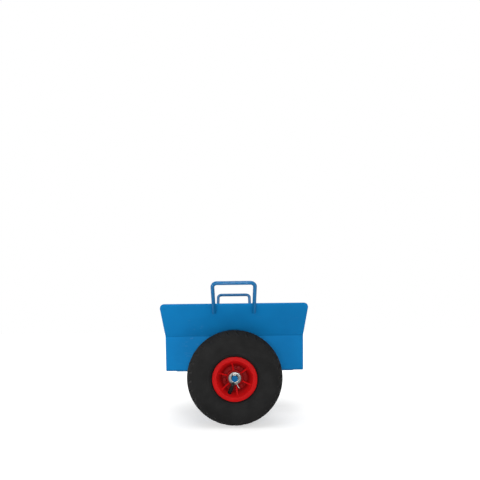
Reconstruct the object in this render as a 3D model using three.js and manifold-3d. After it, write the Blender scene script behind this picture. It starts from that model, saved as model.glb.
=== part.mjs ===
// A sheet goods cart: two bent steel jaws are hinged together along their feet, and each is carried by a
// pneumatic wheel on its outer side. A board set down between the jaws rests on the feet, its weight
// presses the hinge down, and the jaws close on it.
//
// Millimetres, +Z up. X runs along the board and Y across it, and the origin is on the floor under the
// hinge. One half is modelled with its wheel towards +Y, and the other is that half turned round about Z.

import * as THREE from "three";
import { mergeVertices } from "three/addons/utils/BufferGeometryUtils.js";
import Module from "manifold-3d";

const wasm = await Module();
wasm.setup();

const { degToRad } = THREE.MathUtils;

// Clearances
const weldGap = 0.2; // between pieces that are welded, bonded or clamped together
const turningGap = 0.4; // radial play of what turns on a shaft or in a bore
const endPlay = 0.3; // play along a shaft between the pieces on it
const cutMargin = 2; // how far a cutting shape passes the face that it opens
const joinDepth = 1; // how far a rib sinks into what it is moulded to
const mergeDistance = 1e-4; // within which corners of a shape are one corner

// Jaw plates
const plateLength = 400;
const plateThickness = 4;
const bendRadius = 4; // inside both bends
const uprightHeight = 101; // underside of the foot to the start of the flare's bend
const flareLength = 113;
const flareAngle = degToRad(41); // from the upright
const flareCornerRadius = 14;

// Board slot and its rubber pads
const slotWidth = 60; // between the clamp pads
const clampPadThickness = 6;
const clampPadRise = 2; // from the foot pad's top to the clamp pad's lower edge
const clampPadDrop = 8; // from the flare's bend to the clamp pad's upper edge
const clampPadGrooves = 9;
const clampPadGrooveWidth = 3;
const clampPadGrooveFloor = 1.5; // width at the bottom of a groove
const clampPadGrooveDepth = 1.5;
const footPadThickness = 6;
const footPadMargin = 2; // to the foot's inner edge and to the clamp pad's face
const padEndInset = 5; // plate's end to pad's end

// Handles
const handleBarDiameter = 10;
const handleWidth = 108; // between the centre lines of the legs
const handleBendRadius = 12; // of the bar's centre line
const handleWeldLength = 26; // of each leg, on the flare
const handleReach = 71; // from the flare's top edge to the grip's centre line

// Hinge
const hingeRodDiameter = 10;
const knuckleDiameter = 16;
const hingeInset = 26; // plate's end to the end of the last knuckle
const knuckleSpacing = 2; // between neighbouring knuckles
const knuckleSteps = [1, -2, 3]; // places of one half's knuckles along the rod, counted from its middle
const knuckleWeldHeight = 3;
const footClearance = 0.5; // from a knuckle to the edge of a foot
const hingeWasherThickness = 2;
const hingeCapInset = 0.5; // of a cap's edge from a washer's
const hingeCapDepth = 4; // of the rod inside a cap
const hingeCapWall = 1.2;
const rodChamfer = 1;

// Axles
const axleDiameter = 16; // where the wheel turns
const axleRootDiameter = 20; // under the foot and in the collar
const axleChamfer = 1.5;
const axleInset = 5; // from the middle of the slot to the axle's inner end
const axleOverhang = 9; // past the middle of its split pin
const collarDiameter = 28;
const collarWidth = 10;
const axleWasherDiameter = 34;
const axleWasherThickness = 3;

// Split pins
const pinWire = 2.4;
const pinBendRadius = 2.2; // of the wire's centre line
const pinShoulder = 0.5; // from the axle to where the wires part
const pinLeg = 20;
const pinSpread = degToRad(30); // of each wire, from the pin's own line
const pinEyeWidth = 5; // between the centre lines of the eye's sides
const pinEyeHeight = 5.7; // from where the wires part to the eye's top

// Tyre and inner tube
const tyreDiameter = 260;
const tyreWidth = 85;
const wheelClearance = 20; // from the jaw plate to the tyre's side
const crownThickness = 10;
const sidewallThickness = 6.5;
const sectionDrop = 6.75; // of the tyre's widest point below the middle of its side
const sectionSquareness = 2.4; // 2 is an ellipse, and more is squarer
const sidewallStart = 3.5; // from the rim flange's edge to where the bulged side begins
const tyreSeatGap = 0.6; // from the tyre to the rim, outwards
const beadWidth = 9;
const beadHeight = 14;
const tubeGap = 2.5; // to the tyre
const tubeWall = 2.5;

// Tread
const lugCount = 30; // on each shoulder
const lugGrooveWidth = 9;
const lugGrooveDepth = 3; // at the inner end of a groove
const lugGrooveInset = 10; // from the middle of the tread to the inner end of a groove
const lugGrooveSlope = degToRad(26); // down over the shoulder
const lugGrooveAngle = degToRad(22); // from square across the tread

// Rim
const rimWidth = 66;
const beadSeatDiameter = 102;
const beadSeatWidth = 11;
const rimFlangeHeight = 9; // above the bead seat
const rimFlangeThickness = 4;
const rimWellDepth = 3.5; // below the bead seat
const rimWall = 2.7; // between the bead seat and the pockets, at the face
const pocketFloorDiameter = 69;
const webThickness = 6;
const hubDiameter = 44;
const hubOuterEnd = 12; // from the middle of the wheel to the hub's end, on the outside
const hubInnerEnd = 37.5; // the same, on the side of the jaw
const hubDraft = 1; // by which the hub is thicker at its root
const ribCount = 6;
const ribThickness = 4.5;
const ribDrop = 3; // of a rib's top edge below the hub's end and the rim's face
const ribAngle = degToRad(39); // of the first rib, seen from outside, from level

// Rim bolts, each in the middle of every other pocket
const boltCount = 3;
const boltDiameter = 5;
const boltHeadWidth = 9; // across corners
const boltHeadSides = 6;
const boltHeadHeight = 3.5;
const boltReach = 8; // into the outer half of the rim
const boltBossDiameter = 11;
const boltBossHeight = 4;

// Wheel bearing
const sleeveDiameter = 30;
const sleeveBore = 24;
const rollerCount = 8;
const rollerGap = 0.2; // to the axle and to the sleeve
const cageGap = 0.7; // to the axle and to the sleeve
const cageRingWidth = 4;
const cageInset = 3; // from the sleeve's end

// Tyre valve
const valveLean = degToRad(35); // outwards, from square to the axle
const valveOffset = 5; // from the middle of the wheel to the valve's foot
const valveFootDiameter = 11;
const valveTipDiameter = 7.5;
const valvePocket = 3; // counted from the first rib
const valveStemStart = 2; // from the inner tube along the valve's line
const valveTaperLength = 9;
const valveTipRadius = 12; // from the axle's line to the end of the cap
const valveCapDiameter = 9.5;
const valveCapLength = 9;
const valveHoleClearance = 0.5;
const tubeHoleDiameter = 6;

// Facets of round pieces
const tyreFacets = 30;
const tubeFacets = 16;
const rimFacets = 24;
const shaftFacets = 16;
const barFacets = 12;
const boltFacets = 8;
const rollerFacets = 6;
const wireFacets = 6;
const bendFacets = 4;
const wireBendFacets = 2;
const sectionFacets = 3; // of a quarter of the tyre's section
const cavityFacets = 2; // of a quarter of the section inside it

// Heights, and distances from the middle of the slot
const axleHeight = tyreDiameter / 2;
const footUnderside = axleHeight + axleRootDiameter / 2 + weldGap;
const footTop = footUnderside + plateThickness;
const footPadTop = footTop + weldGap + footPadThickness;
const hingeHeight = footUnderside + plateThickness / 2;
const footInnerEdge = knuckleDiameter / 2 + footClearance;
const plateInnerFace = slotWidth / 2 + clampPadThickness + weldGap;
const plateOuterFace = plateInnerFace + plateThickness;
const wheelMiddle = plateOuterFace + wheelClearance + tyreWidth / 2;
const padLength = plateLength - 2 * padEndInset;

// The flare's bend, and the top edge of its outer face
const flareBend = new THREE.Vector2(plateOuterFace + bendRadius, footUnderside + uprightHeight);
const flareRun = new THREE.Vector2(Math.sin(flareAngle), Math.cos(flareAngle));
const flareFacing = new THREE.Vector2(Math.cos(flareAngle), -Math.sin(flareAngle));
const flareStart = flareBend.clone().addScaledVector(flareFacing, -bendRadius);
const flareTop = flareStart.clone().addScaledVector(flareRun, flareLength);

// Places along the axle, from the middle of the wheel outwards
const outerWasherStart = hubOuterEnd + endPlay;
const axlePinPlace = outerWasherStart + axleWasherThickness + endPlay + pinWire / 2 + weldGap;
const axleEnd = wheelMiddle + axlePinPlace + axleOverhang;

// Places along the axle, from the middle of the wheel inwards
const innerWasherEnd = hubInnerEnd + endPlay + axleWasherThickness;
const collarStart = innerWasherEnd + endPlay;

// Places along the hinge rod, from its middle
const lastKnuckleStep = Math.max(...knuckleSteps.map(Math.abs));
const knuckleRowEnd = plateLength / 2 - hingeInset;
const knuckleLength = (knuckleRowEnd - lastKnuckleStep * knuckleSpacing) / (lastKnuckleStep + 0.5);
const knucklePitch = knuckleLength + knuckleSpacing;
const hingeWasherStart = knuckleRowEnd + endPlay;
const hingeCapStart = hingeWasherStart + hingeWasherThickness + endPlay;
const hingeRodEnd = hingeCapStart + hingeCapDepth;

// Radii of the rim
const beadSeatRadius = beadSeatDiameter / 2;
const rimFlangeRadius = beadSeatRadius + rimFlangeHeight;
const pocketRadius = beadSeatRadius - rimWall;
const hubRootRadius = hubDiameter / 2 + hubDraft;
const boltCircleRadius = (hubRootRadius + pocketFloorDiameter / 2) / 2;

// The tyre's section is round about a circle of this radius
const sectionRadius = (rimFlangeRadius + tyreDiameter / 2) / 2 - sectionDrop;
const cavityHeight = tyreDiameter / 2 - sectionRadius - crownThickness;
const cavityHalfWidth = tyreWidth / 2 - sidewallThickness;
const beadPlace = rimWidth / 2 - rimFlangeThickness - weldGap; // outer side of a bead
const tubeUnderside = sectionRadius - cavityHeight + tubeGap;

// Places along the valve's line, from the inner tube
const valveCapEnd = (tubeUnderside - valveTipRadius) / Math.cos(valveLean);
const valveCapStart = valveCapEnd - valveCapLength;
const valveStemEnd = valveCapStart - weldGap;

const pocketAngle = (2 * Math.PI) / ribCount;
const valveAngle = ribAngle + (valvePocket + 0.5) * pocketAngle;
const firstBoltAngle = valveAngle + pocketAngle;

function material(color, roughness, metalness) {
  return new THREE.MeshStandardMaterial({ color, roughness, metalness });
}

const bluePaint = material(0x1272b2, 0.42, 0.1);
const rubberPad = material(0x2a2a2b, 0.9, 0);
const tyreRubber = material(0x272727, 0.82, 0);
const tubeRubber = material(0x1d1d1e, 0.7, 0);
const redPlastic = material(0xb41616, 0.4, 0);
const zincSteel = material(0xb4b6b6, 0.35, 0.9);
const bearingSteel = material(0x9fa2a5, 0.25, 1);
const blackPlastic = material(0x161616, 0.5, 0);

// Turns a BufferGeometry into a solid that can be joined and cut.
function solidOf(geometry) {
  const bare = geometry.clone();
  bare.deleteAttribute("normal");
  bare.deleteAttribute("uv");
  const merged = mergeVertices(bare, mergeDistance);
  const triangles = [];
  for (let i = 0; i < merged.index.count; i += 3) {
    const [a, b, c] = merged.index.array.slice(i, i + 3);
    if (a !== b && b !== c && c !== a) triangles.push(a, b, c);
  }
  const vertProperties = Float32Array.from(merged.attributes.position.array);
  const triVerts = Uint32Array.from(triangles);
  return new wasm.Manifold(new wasm.Mesh({ numProp: 3, vertProperties, triVerts }));
}

function geometryOf(solid) {
  const { vertProperties, triVerts } = solid.getMesh();
  const geometry = new THREE.BufferGeometry();
  geometry.setAttribute("position", new THREE.BufferAttribute(vertProperties, 3));
  geometry.setIndex(new THREE.BufferAttribute(triVerts, 1));
  geometry.computeVertexNormals();
  return geometry;
}

function join(first, ...others) {
  return geometryOf(others.reduce((whole, other) => whole.add(solidOf(other)), solidOf(first)));
}

function cut(body, ...cutters) {
  return geometryOf(cutters.reduce((whole, cutter) => whole.subtract(solidOf(cutter)), solidOf(body)));
}

// A round piece about Y, from points given as [radius, place along Y]. A profile that leaves the axis closes.
function turned(profile, facets) {
  const points = profile.map(([radius, place]) => new THREE.Vector2(radius, place));
  if (THREE.ShapeUtils.area(points) < 0) points.reverse();
  if (points[0].x > 0) points.push(points[0].clone());
  return new THREE.LatheGeometry(points, facets);
}

function ring(bore, diameter, start, end, facets) {
  return turned([[bore / 2, start], [diameter / 2, start], [diameter / 2, end], [bore / 2, end]], facets);
}

function rod(diameter, start, end, chamfer, facets) {
  const radius = diameter / 2;
  const profile = [[0, start], [radius - chamfer, start], [radius, start + chamfer]];
  profile.push([radius, end - chamfer], [radius - chamfer, end], [0, end]);
  return turned(profile, facets);
}

function drill(diameter, length) {
  return new THREE.CylinderGeometry(diameter / 2, diameter / 2, length, shaftFacets);
}

// A section drawn in Y and Z, run along X.
function alongX(section, length) {
  const options = { depth: length, bevelEnabled: false, curveSegments: bendFacets };
  const geometry = new THREE.ExtrudeGeometry(section, options).translate(0, 0, -length / 2);
  const toX = new THREE.Vector3(1, 0, 0);
  const toY = new THREE.Vector3(0, 1, 0);
  const toZ = new THREE.Vector3(0, 0, 1);
  return geometry.applyMatrix4(new THREE.Matrix4().makeBasis(toY, toZ, toX));
}

// Straight runs joined by round bends, with stations only at the ends and in the bends.
class BentPath extends THREE.Curve {
  constructor(corners, radius, facets) {
    super();
    const first = corners[1].clone().sub(corners[0]).normalize();
    this.stations = [{ point: corners[0], tangent: first }];
    for (let i = 1; i < corners.length - 1; i++) {
      this.addBend(corners.slice(i - 1, i + 2), radius, facets);
    }
    const [beforeLast, last] = corners.slice(-2);
    this.stations.push({ point: last, tangent: last.clone().sub(beforeLast).normalize() });
  }

  addBend([before, corner, after], radius, facets) {
    const into = corner.clone().sub(before).normalize();
    const out = after.clone().sub(corner).normalize();
    const angle = into.angleTo(out);
    const inward = out.clone().addScaledVector(into, -Math.cos(angle)).normalize();
    const start = corner.clone().addScaledVector(into, -radius * Math.tan(angle / 2));
    for (let step = 0; step <= facets; step++) {
      const turn = (angle * step) / facets;
      const point = start.clone().addScaledVector(into, radius * Math.sin(turn));
      point.addScaledVector(inward, radius * (1 - Math.cos(turn)));
      const tangent = into.clone().multiplyScalar(Math.cos(turn)).addScaledVector(inward, Math.sin(turn));
      this.stations.push({ point, tangent });
    }
  }

  stationAt(u) {
    return this.stations[Math.round(u * (this.stations.length - 1))];
  }

  getPoint(u) {
    return this.stationAt(u).point.clone();
  }

  getPointAt(u) {
    return this.getPoint(u);
  }

  getTangentAt(u) {
    return this.stationAt(u).tangent.clone();
  }
}

function bentBar(corners, radius, diameter, facets, bends) {
  const path = new BentPath(corners, radius, bends);
  const section = new THREE.Shape().absarc(0, 0, diameter / 2, 0, 2 * Math.PI);
  const steps = path.stations.length - 1;
  return new THREE.ExtrudeGeometry(section, { steps, curveSegments: facets / 2, extrudePath: path });
}

// A jaw plate's section: the foot, the upright and the flare, as one bent sheet.
function jawSection() {
  const footBend = new THREE.Vector2(plateInnerFace - bendRadius, footTop + bendRadius);
  const outsideRadius = bendRadius + plateThickness;
  const innerTop = flareTop.clone().addScaledVector(flareFacing, -plateThickness);
  const section = new THREE.Shape();
  section.moveTo(footInnerEdge, footUnderside);
  section.absarc(footBend.x, footBend.y, outsideRadius, -Math.PI / 2, 0, false);
  section.absarc(flareBend.x, flareBend.y, bendRadius, Math.PI, Math.PI - flareAngle, true);
  section.lineTo(flareTop.x, flareTop.y);
  section.lineTo(innerTop.x, innerTop.y);
  section.absarc(flareBend.x, flareBend.y, outsideRadius, Math.PI - flareAngle, Math.PI, false);
  section.absarc(footBend.x, footBend.y, bendRadius, 0, -Math.PI / 2, true);
  section.lineTo(footInnerEdge, footTop);
  section.closePath();
  return section;
}

// The frame of the flare's outer face: Y runs up the flare from its top edge, and Z points out of the face.
function flareMatrix() {
  const along = new THREE.Vector3(-1, 0, 0);
  const up = new THREE.Vector3(0, flareRun.x, flareRun.y);
  const out = new THREE.Vector3(0, flareFacing.x, flareFacing.y);
  return new THREE.Matrix4().makeBasis(along, up, out).setPosition(0, flareTop.x, flareTop.y);
}

// What is cut off one top corner of the flare to round it. Side is 1 or -1.
function flareCornerCutter(side) {
  const radius = flareCornerRadius;
  const past = radius + cutMargin;
  const outline = new THREE.Shape();
  outline.absarc(0, 0, radius, Math.PI / 2, side > 0 ? 0 : Math.PI, side > 0);
  outline.lineTo(side * past, 0);
  outline.lineTo(side * past, past);
  outline.lineTo(0, past);
  outline.closePath();
  const depth = plateThickness + 2 * cutMargin;
  const options = { depth, bevelEnabled: false, curveSegments: bendFacets };
  const cutter = new THREE.ExtrudeGeometry(outline, options);
  cutter.translate(side * (plateLength / 2 - radius), -radius, -plateThickness - cutMargin);
  return cutter.applyMatrix4(flareMatrix());
}

function jawPlate() {
  return cut(alongX(jawSection(), plateLength), flareCornerCutter(1), flareCornerCutter(-1));
}

// The handle's bar, in the frame of the flare's outer face.
function handleBar() {
  const side = handleWidth / 2;
  const lift = handleBarDiameter / 2 + weldGap;
  const corners = [
    new THREE.Vector3(-side, -handleWeldLength, lift),
    new THREE.Vector3(-side, handleReach, lift),
    new THREE.Vector3(side, handleReach, lift),
    new THREE.Vector3(side, -handleWeldLength, lift),
  ];
  return bentBar(corners, handleBendRadius, handleBarDiameter, barFacets, bendFacets);
}

// The clamp pad is grooved along the board on the side that grips it.
function clampPad() {
  const face = slotWidth / 2;
  const bottom = footPadTop + clampPadRise;
  const top = flareBend.y - clampPadDrop;
  const pitch = (top - bottom) / (clampPadGrooves + 1);
  const section = new THREE.Shape();
  section.moveTo(face, bottom);
  section.lineTo(face + clampPadThickness, bottom);
  section.lineTo(face + clampPadThickness, top);
  section.lineTo(face, top);
  for (let i = clampPadGrooves; i > 0; i--) {
    const middle = bottom + i * pitch;
    section.lineTo(face, middle + clampPadGrooveWidth / 2);
    section.lineTo(face + clampPadGrooveDepth, middle + clampPadGrooveFloor / 2);
    section.lineTo(face + clampPadGrooveDepth, middle - clampPadGrooveFloor / 2);
    section.lineTo(face, middle - clampPadGrooveWidth / 2);
  }
  section.closePath();
  return alongX(section, padLength);
}

function footPad() {
  const inner = footInnerEdge + footPadMargin;
  const outer = slotWidth / 2 - footPadMargin;
  const section = new THREE.Shape();
  section.moveTo(inner, footTop + weldGap);
  section.lineTo(outer, footTop + weldGap);
  section.lineTo(outer, footPadTop);
  section.lineTo(inner, footPadTop);
  section.closePath();
  return alongX(section, padLength);
}

// A hinge knuckle about X, with the weld that joins it to its foot.
function knuckle() {
  const bore = hingeRodDiameter + 2 * turningGap;
  const tube = ring(bore, knuckleDiameter, -knuckleLength / 2, knuckleLength / 2, shaftFacets);
  tube.rotateZ(-Math.PI / 2);
  const weldStart = (bore + knuckleDiameter) / 4;
  const weldWidth = footInnerEdge - weldGap / 2 - weldStart;
  const weld = new THREE.BoxGeometry(knuckleLength, weldWidth, knuckleWeldHeight);
  weld.translate(0, weldStart + weldWidth / 2, 0);
  return join(tube, weld);
}

// A split pin in X and Z, through an axle whose middle is at the origin. Its legs spread below the axle.
function splitPin() {
  const half = pinWire / 2 + weldGap;
  const eye = pinEyeWidth / 2;
  const edge = axleDiameter / 2 + pinShoulder;
  const eyeStart = edge + (eye - half) / Math.tan(pinSpread);
  const wire = (side) => [
    new THREE.Vector3(side * (half + pinLeg * Math.sin(pinSpread)), 0, -edge - pinLeg * Math.cos(pinSpread)),
    new THREE.Vector3(side * half, 0, -edge),
    new THREE.Vector3(side * half, 0, edge),
    new THREE.Vector3(side * eye, 0, eyeStart),
    new THREE.Vector3(side * eye, 0, edge + pinEyeHeight),
  ];
  const corners = [...wire(1), ...wire(-1).reverse()];
  return bentBar(corners, pinBendRadius, pinWire, wireFacets, wireBendFacets);
}

// A push-on cap that holds one end of the hinge rod, about Y.
function hingeCap() {
  const bore = hingeRodDiameter / 2 + weldGap;
  const outside = knuckleDiameter / 2 - hingeCapInset;
  const floor = hingeCapDepth + weldGap;
  const end = floor + hingeCapWall;
  const profile = [[0, floor], [bore, floor], [bore, 0], [outside, 0], [outside, hingeCapWall]];
  profile.push([bore + hingeCapWall, hingeCapWall], [bore + hingeCapWall, floor], [bore, end], [0, end]);
  return turned(profile, shaftFacets);
}

// The axle is turned down to its spindle from the collar's face outwards.
function axle() {
  const start = axleInset - wheelMiddle;
  const end = axleEnd - wheelMiddle;
  const root = axleRootDiameter / 2;
  const spindle = axleDiameter / 2;
  const profile = [[0, start], [root - axleChamfer, start], [root, start + axleChamfer]];
  profile.push([root, -collarStart], [spindle, -collarStart]);
  profile.push([spindle, end - axleChamfer], [spindle - axleChamfer, end], [0, end]);
  const hole = drill(2 * pinWire + 2 * weldGap + turningGap, axleDiameter + 2 * cutMargin);
  return cut(turned(profile, shaftFacets), hole.rotateX(Math.PI / 2).translate(0, axlePinPlace, 0));
}

function axleWasher(start) {
  const bore = axleDiameter + 2 * turningGap;
  return ring(bore, axleWasherDiameter, start, start + axleWasherThickness, shaftFacets);
}

const squared = (value) => Math.sign(value) * Math.abs(value) ** (2 / sectionSquareness);

// A point of a squared oval section, at an angle from the tread's middle.
function sectionPoint(height, halfWidth, angle) {
  return [sectionRadius + height * squared(Math.cos(angle)), halfWidth * squared(Math.sin(angle))];
}

// The angle at which a section of this height comes down to a radius below its middle.
function sectionAngle(height, radius) {
  return Math.acos(-(((sectionRadius - radius) / height) ** (sectionSquareness / 2)));
}

// The section from an angle on one side, over the tread, to the same angle on the other side.
function sectionArc(height, halfWidth, limit, facets) {
  const quarter = Math.PI / 2;
  const below = Math.ceil((facets * (limit - quarter)) / quarter);
  const angles = [];
  for (let i = 0; i < below; i++) angles.push(limit + ((quarter - limit) * i) / below);
  for (let i = 0; i < facets; i++) angles.push(quarter * (1 - i / facets));
  const mirrored = angles.map((angle) => -angle).reverse();
  return [...angles, 0, ...mirrored].map((angle) => sectionPoint(height, halfWidth, angle));
}

// One groove of the tread, which runs from near its middle out over a shoulder. Side is 1 or -1.
function lugGroove(side, index) {
  const depth = crownThickness;
  const reach = tyreWidth / 2;
  const box = new THREE.BoxGeometry(lugGrooveWidth, reach, depth);
  box.translate(0, (side * reach) / 2, depth / 2);
  box.rotateX(-side * lugGrooveSlope);
  box.rotateZ(side * lugGrooveAngle);
  box.translate(0, side * lugGrooveInset, tyreDiameter / 2 - lugGrooveDepth);
  const stagger = side > 0 ? 0 : 0.5;
  return box.rotateY((2 * Math.PI * (index + stagger)) / lugCount);
}

function tyre() {
  const height = tyreDiameter / 2 - sectionRadius;
  const seat = beadSeatRadius + tyreSeatGap;
  const outsideEnd = sectionAngle(height, rimFlangeRadius + sidewallStart);
  const insideEnd = sectionAngle(cavityHeight, seat + beadHeight);
  const outside = sectionArc(height, tyreWidth / 2, outsideEnd, sectionFacets);
  const inside = sectionArc(cavityHeight, cavityHalfWidth, insideEnd, cavityFacets);
  const flange = rimFlangeRadius + tyreSeatGap;
  const bead = [[flange, beadPlace], [seat, beadPlace], [seat, beadPlace - beadWidth]];
  const mirrored = bead.map(([radius, place]) => [radius, -place]);
  const profile = [...outside, ...mirrored, ...inside.reverse(), ...bead.reverse()];
  const grooves = [];
  for (const side of [1, -1]) {
    for (let index = 0; index < lugCount; index++) grooves.push(lugGroove(side, index));
  }
  return cut(turned(profile, tyreFacets), ...grooves);
}

function innerTube() {
  const height = cavityHeight - tubeGap;
  const halfWidth = cavityHalfWidth - tubeGap;
  const outside = sectionArc(height, halfWidth, Math.PI, cavityFacets).slice(1);
  const inside = sectionArc(height - tubeWall, halfWidth - tubeWall, Math.PI, cavityFacets).slice(1);
  const hole = drill(tubeHoleDiameter, 2 * (tubeWall + cutMargin)).applyMatrix4(valveMatrix());
  return cut(turned(outside, tubeFacets), turned(inside, tubeFacets), hole);
}

// The valve's line: its own Y runs from the inner tube through the rim's wall, towards the hub and outwards.
function valveMatrix() {
  const away = new THREE.Vector3(-Math.cos(valveAngle), 0, Math.sin(valveAngle));
  const line = away.clone().multiplyScalar(-Math.cos(valveLean));
  line.y = Math.sin(valveLean);
  const turn = new THREE.Quaternion().setFromUnitVectors(new THREE.Vector3(0, 1, 0), line);
  const foot = away.multiplyScalar(tubeUnderside).setY(valveOffset);
  return new THREE.Matrix4().compose(foot, turn, new THREE.Vector3(1, 1, 1));
}

function valveStem() {
  const foot = valveFootDiameter / 2;
  const tip = valveTipDiameter / 2;
  const profile = [[0, valveStemStart], [foot, valveStemStart], [foot, valveStemEnd - valveTaperLength]];
  profile.push([tip, valveStemEnd], [0, valveStemEnd]);
  return turned(profile, boltFacets);
}

function valveCap() {
  return rod(valveCapDiameter, valveCapStart, valveCapEnd, rodChamfer, boltFacets);
}

// Turns a piece that lies along +X to an angle seen from outside the wheel, from level.
function atAngle(geometry, angle) {
  return geometry.rotateY(Math.PI + angle);
}

// Side is 1 for the outer half of the rim and -1 for the inner one.
function hubEnd(side) {
  return side > 0 ? hubOuterEnd : hubInnerEnd;
}

function rimRib(side) {
  const hub = hubDiameter / 2;
  const root = webThickness - joinDepth;
  const outline = new THREE.Shape();
  outline.moveTo(hub - joinDepth, side * root);
  outline.lineTo(hub - joinDepth, side * (hubEnd(side) - ribDrop));
  outline.lineTo(hub, side * (hubEnd(side) - ribDrop));
  outline.lineTo(pocketRadius + joinDepth, side * (rimWidth / 2 - ribDrop));
  outline.lineTo(pocketFloorDiameter / 2 + joinDepth, side * root);
  outline.closePath();
  const rib = new THREE.ExtrudeGeometry(outline, { depth: ribThickness, bevelEnabled: false });
  return rib.translate(0, 0, -ribThickness / 2);
}

// One half of the split rim.
function rimHalf(side) {
  const face = rimWidth / 2;
  const seatEnd = face - rimFlangeThickness - beadSeatWidth;
  const well = beadSeatRadius - rimWellDepth;
  const bore = sleeveDiameter / 2 + turningGap;
  const profile = [
    [bore, weldGap / 2],
    [bore, hubEnd(side)],
    [hubDiameter / 2, hubEnd(side)],
    [hubRootRadius, webThickness],
    [pocketFloorDiameter / 2, webThickness],
    [pocketRadius, face],
    [rimFlangeRadius, face],
    [rimFlangeRadius, face - rimFlangeThickness],
    [beadSeatRadius, face - rimFlangeThickness],
    [beadSeatRadius, seatEnd],
    [well, seatEnd - rimWellDepth],
    [well, weldGap / 2],
  ];
  const dish = turned(profile.map(([radius, place]) => [radius, side * place]), rimFacets);
  const ribs = [];
  for (let i = 0; i < ribCount; i++) ribs.push(atAngle(rimRib(side), ribAngle + i * pocketAngle));
  const bosses = side > 0 ? boltPlaces(boltBoss) : [];
  const holes = boltPlaces(boltHole);
  if (side > 0) holes.push(valveHole());
  return cut(join(dish, ...ribs, ...bosses), ...holes);
}

function valveHole() {
  const hole = drill(valveFootDiameter + 2 * valveHoleClearance, valveStemEnd);
  return hole.translate(0, valveStemEnd / 2, 0).applyMatrix4(valveMatrix());
}

function boltPlaces(make) {
  const places = Array.from({ length: boltCount }, (_, i) => firstBoltAngle + (2 * Math.PI * i) / boltCount);
  return places.map((angle) => atAngle(make().translate(boltCircleRadius, 0, 0), angle));
}

function boltBoss() {
  const height = webThickness / 2 + boltBossHeight;
  const boss = new THREE.CylinderGeometry(boltBossDiameter / 2, boltBossDiameter / 2, height, boltFacets);
  return boss.translate(0, webThickness / 2 + height / 2, 0);
}

function boltHole() {
  const start = -webThickness - cutMargin;
  const end = boltReach + endPlay;
  const radius = boltDiameter / 2 + turningGap;
  const hole = new THREE.CylinderGeometry(radius, radius, end - start, boltFacets);
  return hole.translate(0, (start + end) / 2, 0);
}

// A hexagon bolt whose head rests on the web of the rim's inner half.
function rimBolt() {
  const seat = -webThickness - weldGap;
  const shank = new THREE.CylinderGeometry(boltDiameter / 2, boltDiameter / 2, boltReach - seat, boltFacets);
  shank.translate(0, (boltReach + seat) / 2, 0);
  const headRadius = boltHeadWidth / 2;
  const head = new THREE.CylinderGeometry(headRadius, headRadius, boltHeadHeight, boltHeadSides);
  head.translate(0, seat - boltHeadHeight / 2, 0);
  return join(shank, head);
}

function bearingSleeve() {
  return ring(sleeveBore, sleeveDiameter, endPlay - hubInnerEnd, hubOuterEnd - endPlay, rimFacets);
}

// The rollers run between the axle and the sleeve, held apart by a ring at each end.
function rollerCage() {
  const start = cageInset - hubInnerEnd;
  const end = hubOuterEnd - cageInset;
  const inner = axleDiameter + 2 * cageGap;
  const outer = sleeveBore - 2 * cageGap;
  const rollerRadius = (sleeveBore - axleDiameter) / 4 - rollerGap;
  const rollerCircle = (sleeveBore + axleDiameter) / 4;
  const length = end - start - cageRingWidth;
  const rollers = Array.from({ length: rollerCount }, (_, i) => {
    const roller = new THREE.CylinderGeometry(rollerRadius, rollerRadius, length, rollerFacets);
    return atAngle(roller.translate(rollerCircle, (start + end) / 2, 0), (2 * Math.PI * i) / rollerCount);
  });
  const rings = [ring(inner, outer, start, start + cageRingWidth, shaftFacets)];
  rings.push(ring(inner, outer, end - cageRingWidth, end, shaftFacets));
  return join(...rings, ...rollers);
}

function add(parent, name, geometry, finish) {
  const mesh = new THREE.Mesh(geometry, finish);
  mesh.name = name;
  parent.add(mesh);
  return mesh;
}

// The jaw's welded steelwork, with the pads bonded to it.
function addJaw(parent, half) {
  add(parent, `${half}_jaw_plate`, jawPlate(), bluePaint);
  const flare = new THREE.Group();
  flare.applyMatrix4(flareMatrix());
  parent.add(flare);
  add(flare, `${half}_handle`, handleBar(), bluePaint);
  add(parent, `${half}_clamp_pad`, clampPad(), rubberPad);
  add(parent, `${half}_foot_pad`, footPad(), rubberPad);
  knuckleSteps.forEach((step, index) => {
    const mesh = add(parent, `${half}_hinge_knuckle_${index + 1}`, knuckle(), bluePaint);
    mesh.position.set(step * knucklePitch, 0, hingeHeight);
  });
}

// What stays still on the axle, from the jaw outwards.
function addAxle(parent, half) {
  add(parent, `${half}_axle`, axle(), bluePaint);
  const collarBore = axleRootDiameter + 2 * weldGap;
  const collar = ring(collarBore, collarDiameter, -collarStart - collarWidth, -collarStart, shaftFacets);
  add(parent, `${half}_axle_collar`, collar, bluePaint);
  add(parent, `${half}_inner_washer`, axleWasher(-innerWasherEnd), zincSteel);
  add(parent, `${half}_outer_washer`, axleWasher(outerWasherStart), zincSteel);
  const pin = add(parent, `${half}_axle_split_pin`, splitPin(), zincSteel);
  pin.position.y = axlePinPlace;
}

function addWheel(parent, half) {
  add(parent, `${half}_tyre`, tyre(), tyreRubber);
  add(parent, `${half}_inner_tube`, innerTube(), tubeRubber);
  add(parent, `${half}_rim_outer_half`, rimHalf(1), redPlastic);
  add(parent, `${half}_rim_inner_half`, rimHalf(-1), redPlastic);
  boltPlaces(rimBolt).forEach((bolt, index) => add(parent, `${half}_rim_bolt_${index + 1}`, bolt, zincSteel));
  add(parent, `${half}_bearing_sleeve`, bearingSleeve(), bearingSteel);
  add(parent, `${half}_roller_cage`, rollerCage(), bearingSteel);
  const valve = new THREE.Group();
  valve.applyMatrix4(valveMatrix());
  parent.add(valve);
  add(valve, `${half}_valve_stem`, valveStem(), blackPlastic);
  add(valve, `${half}_valve_cap`, valveCap(), blackPlastic);
}

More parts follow.
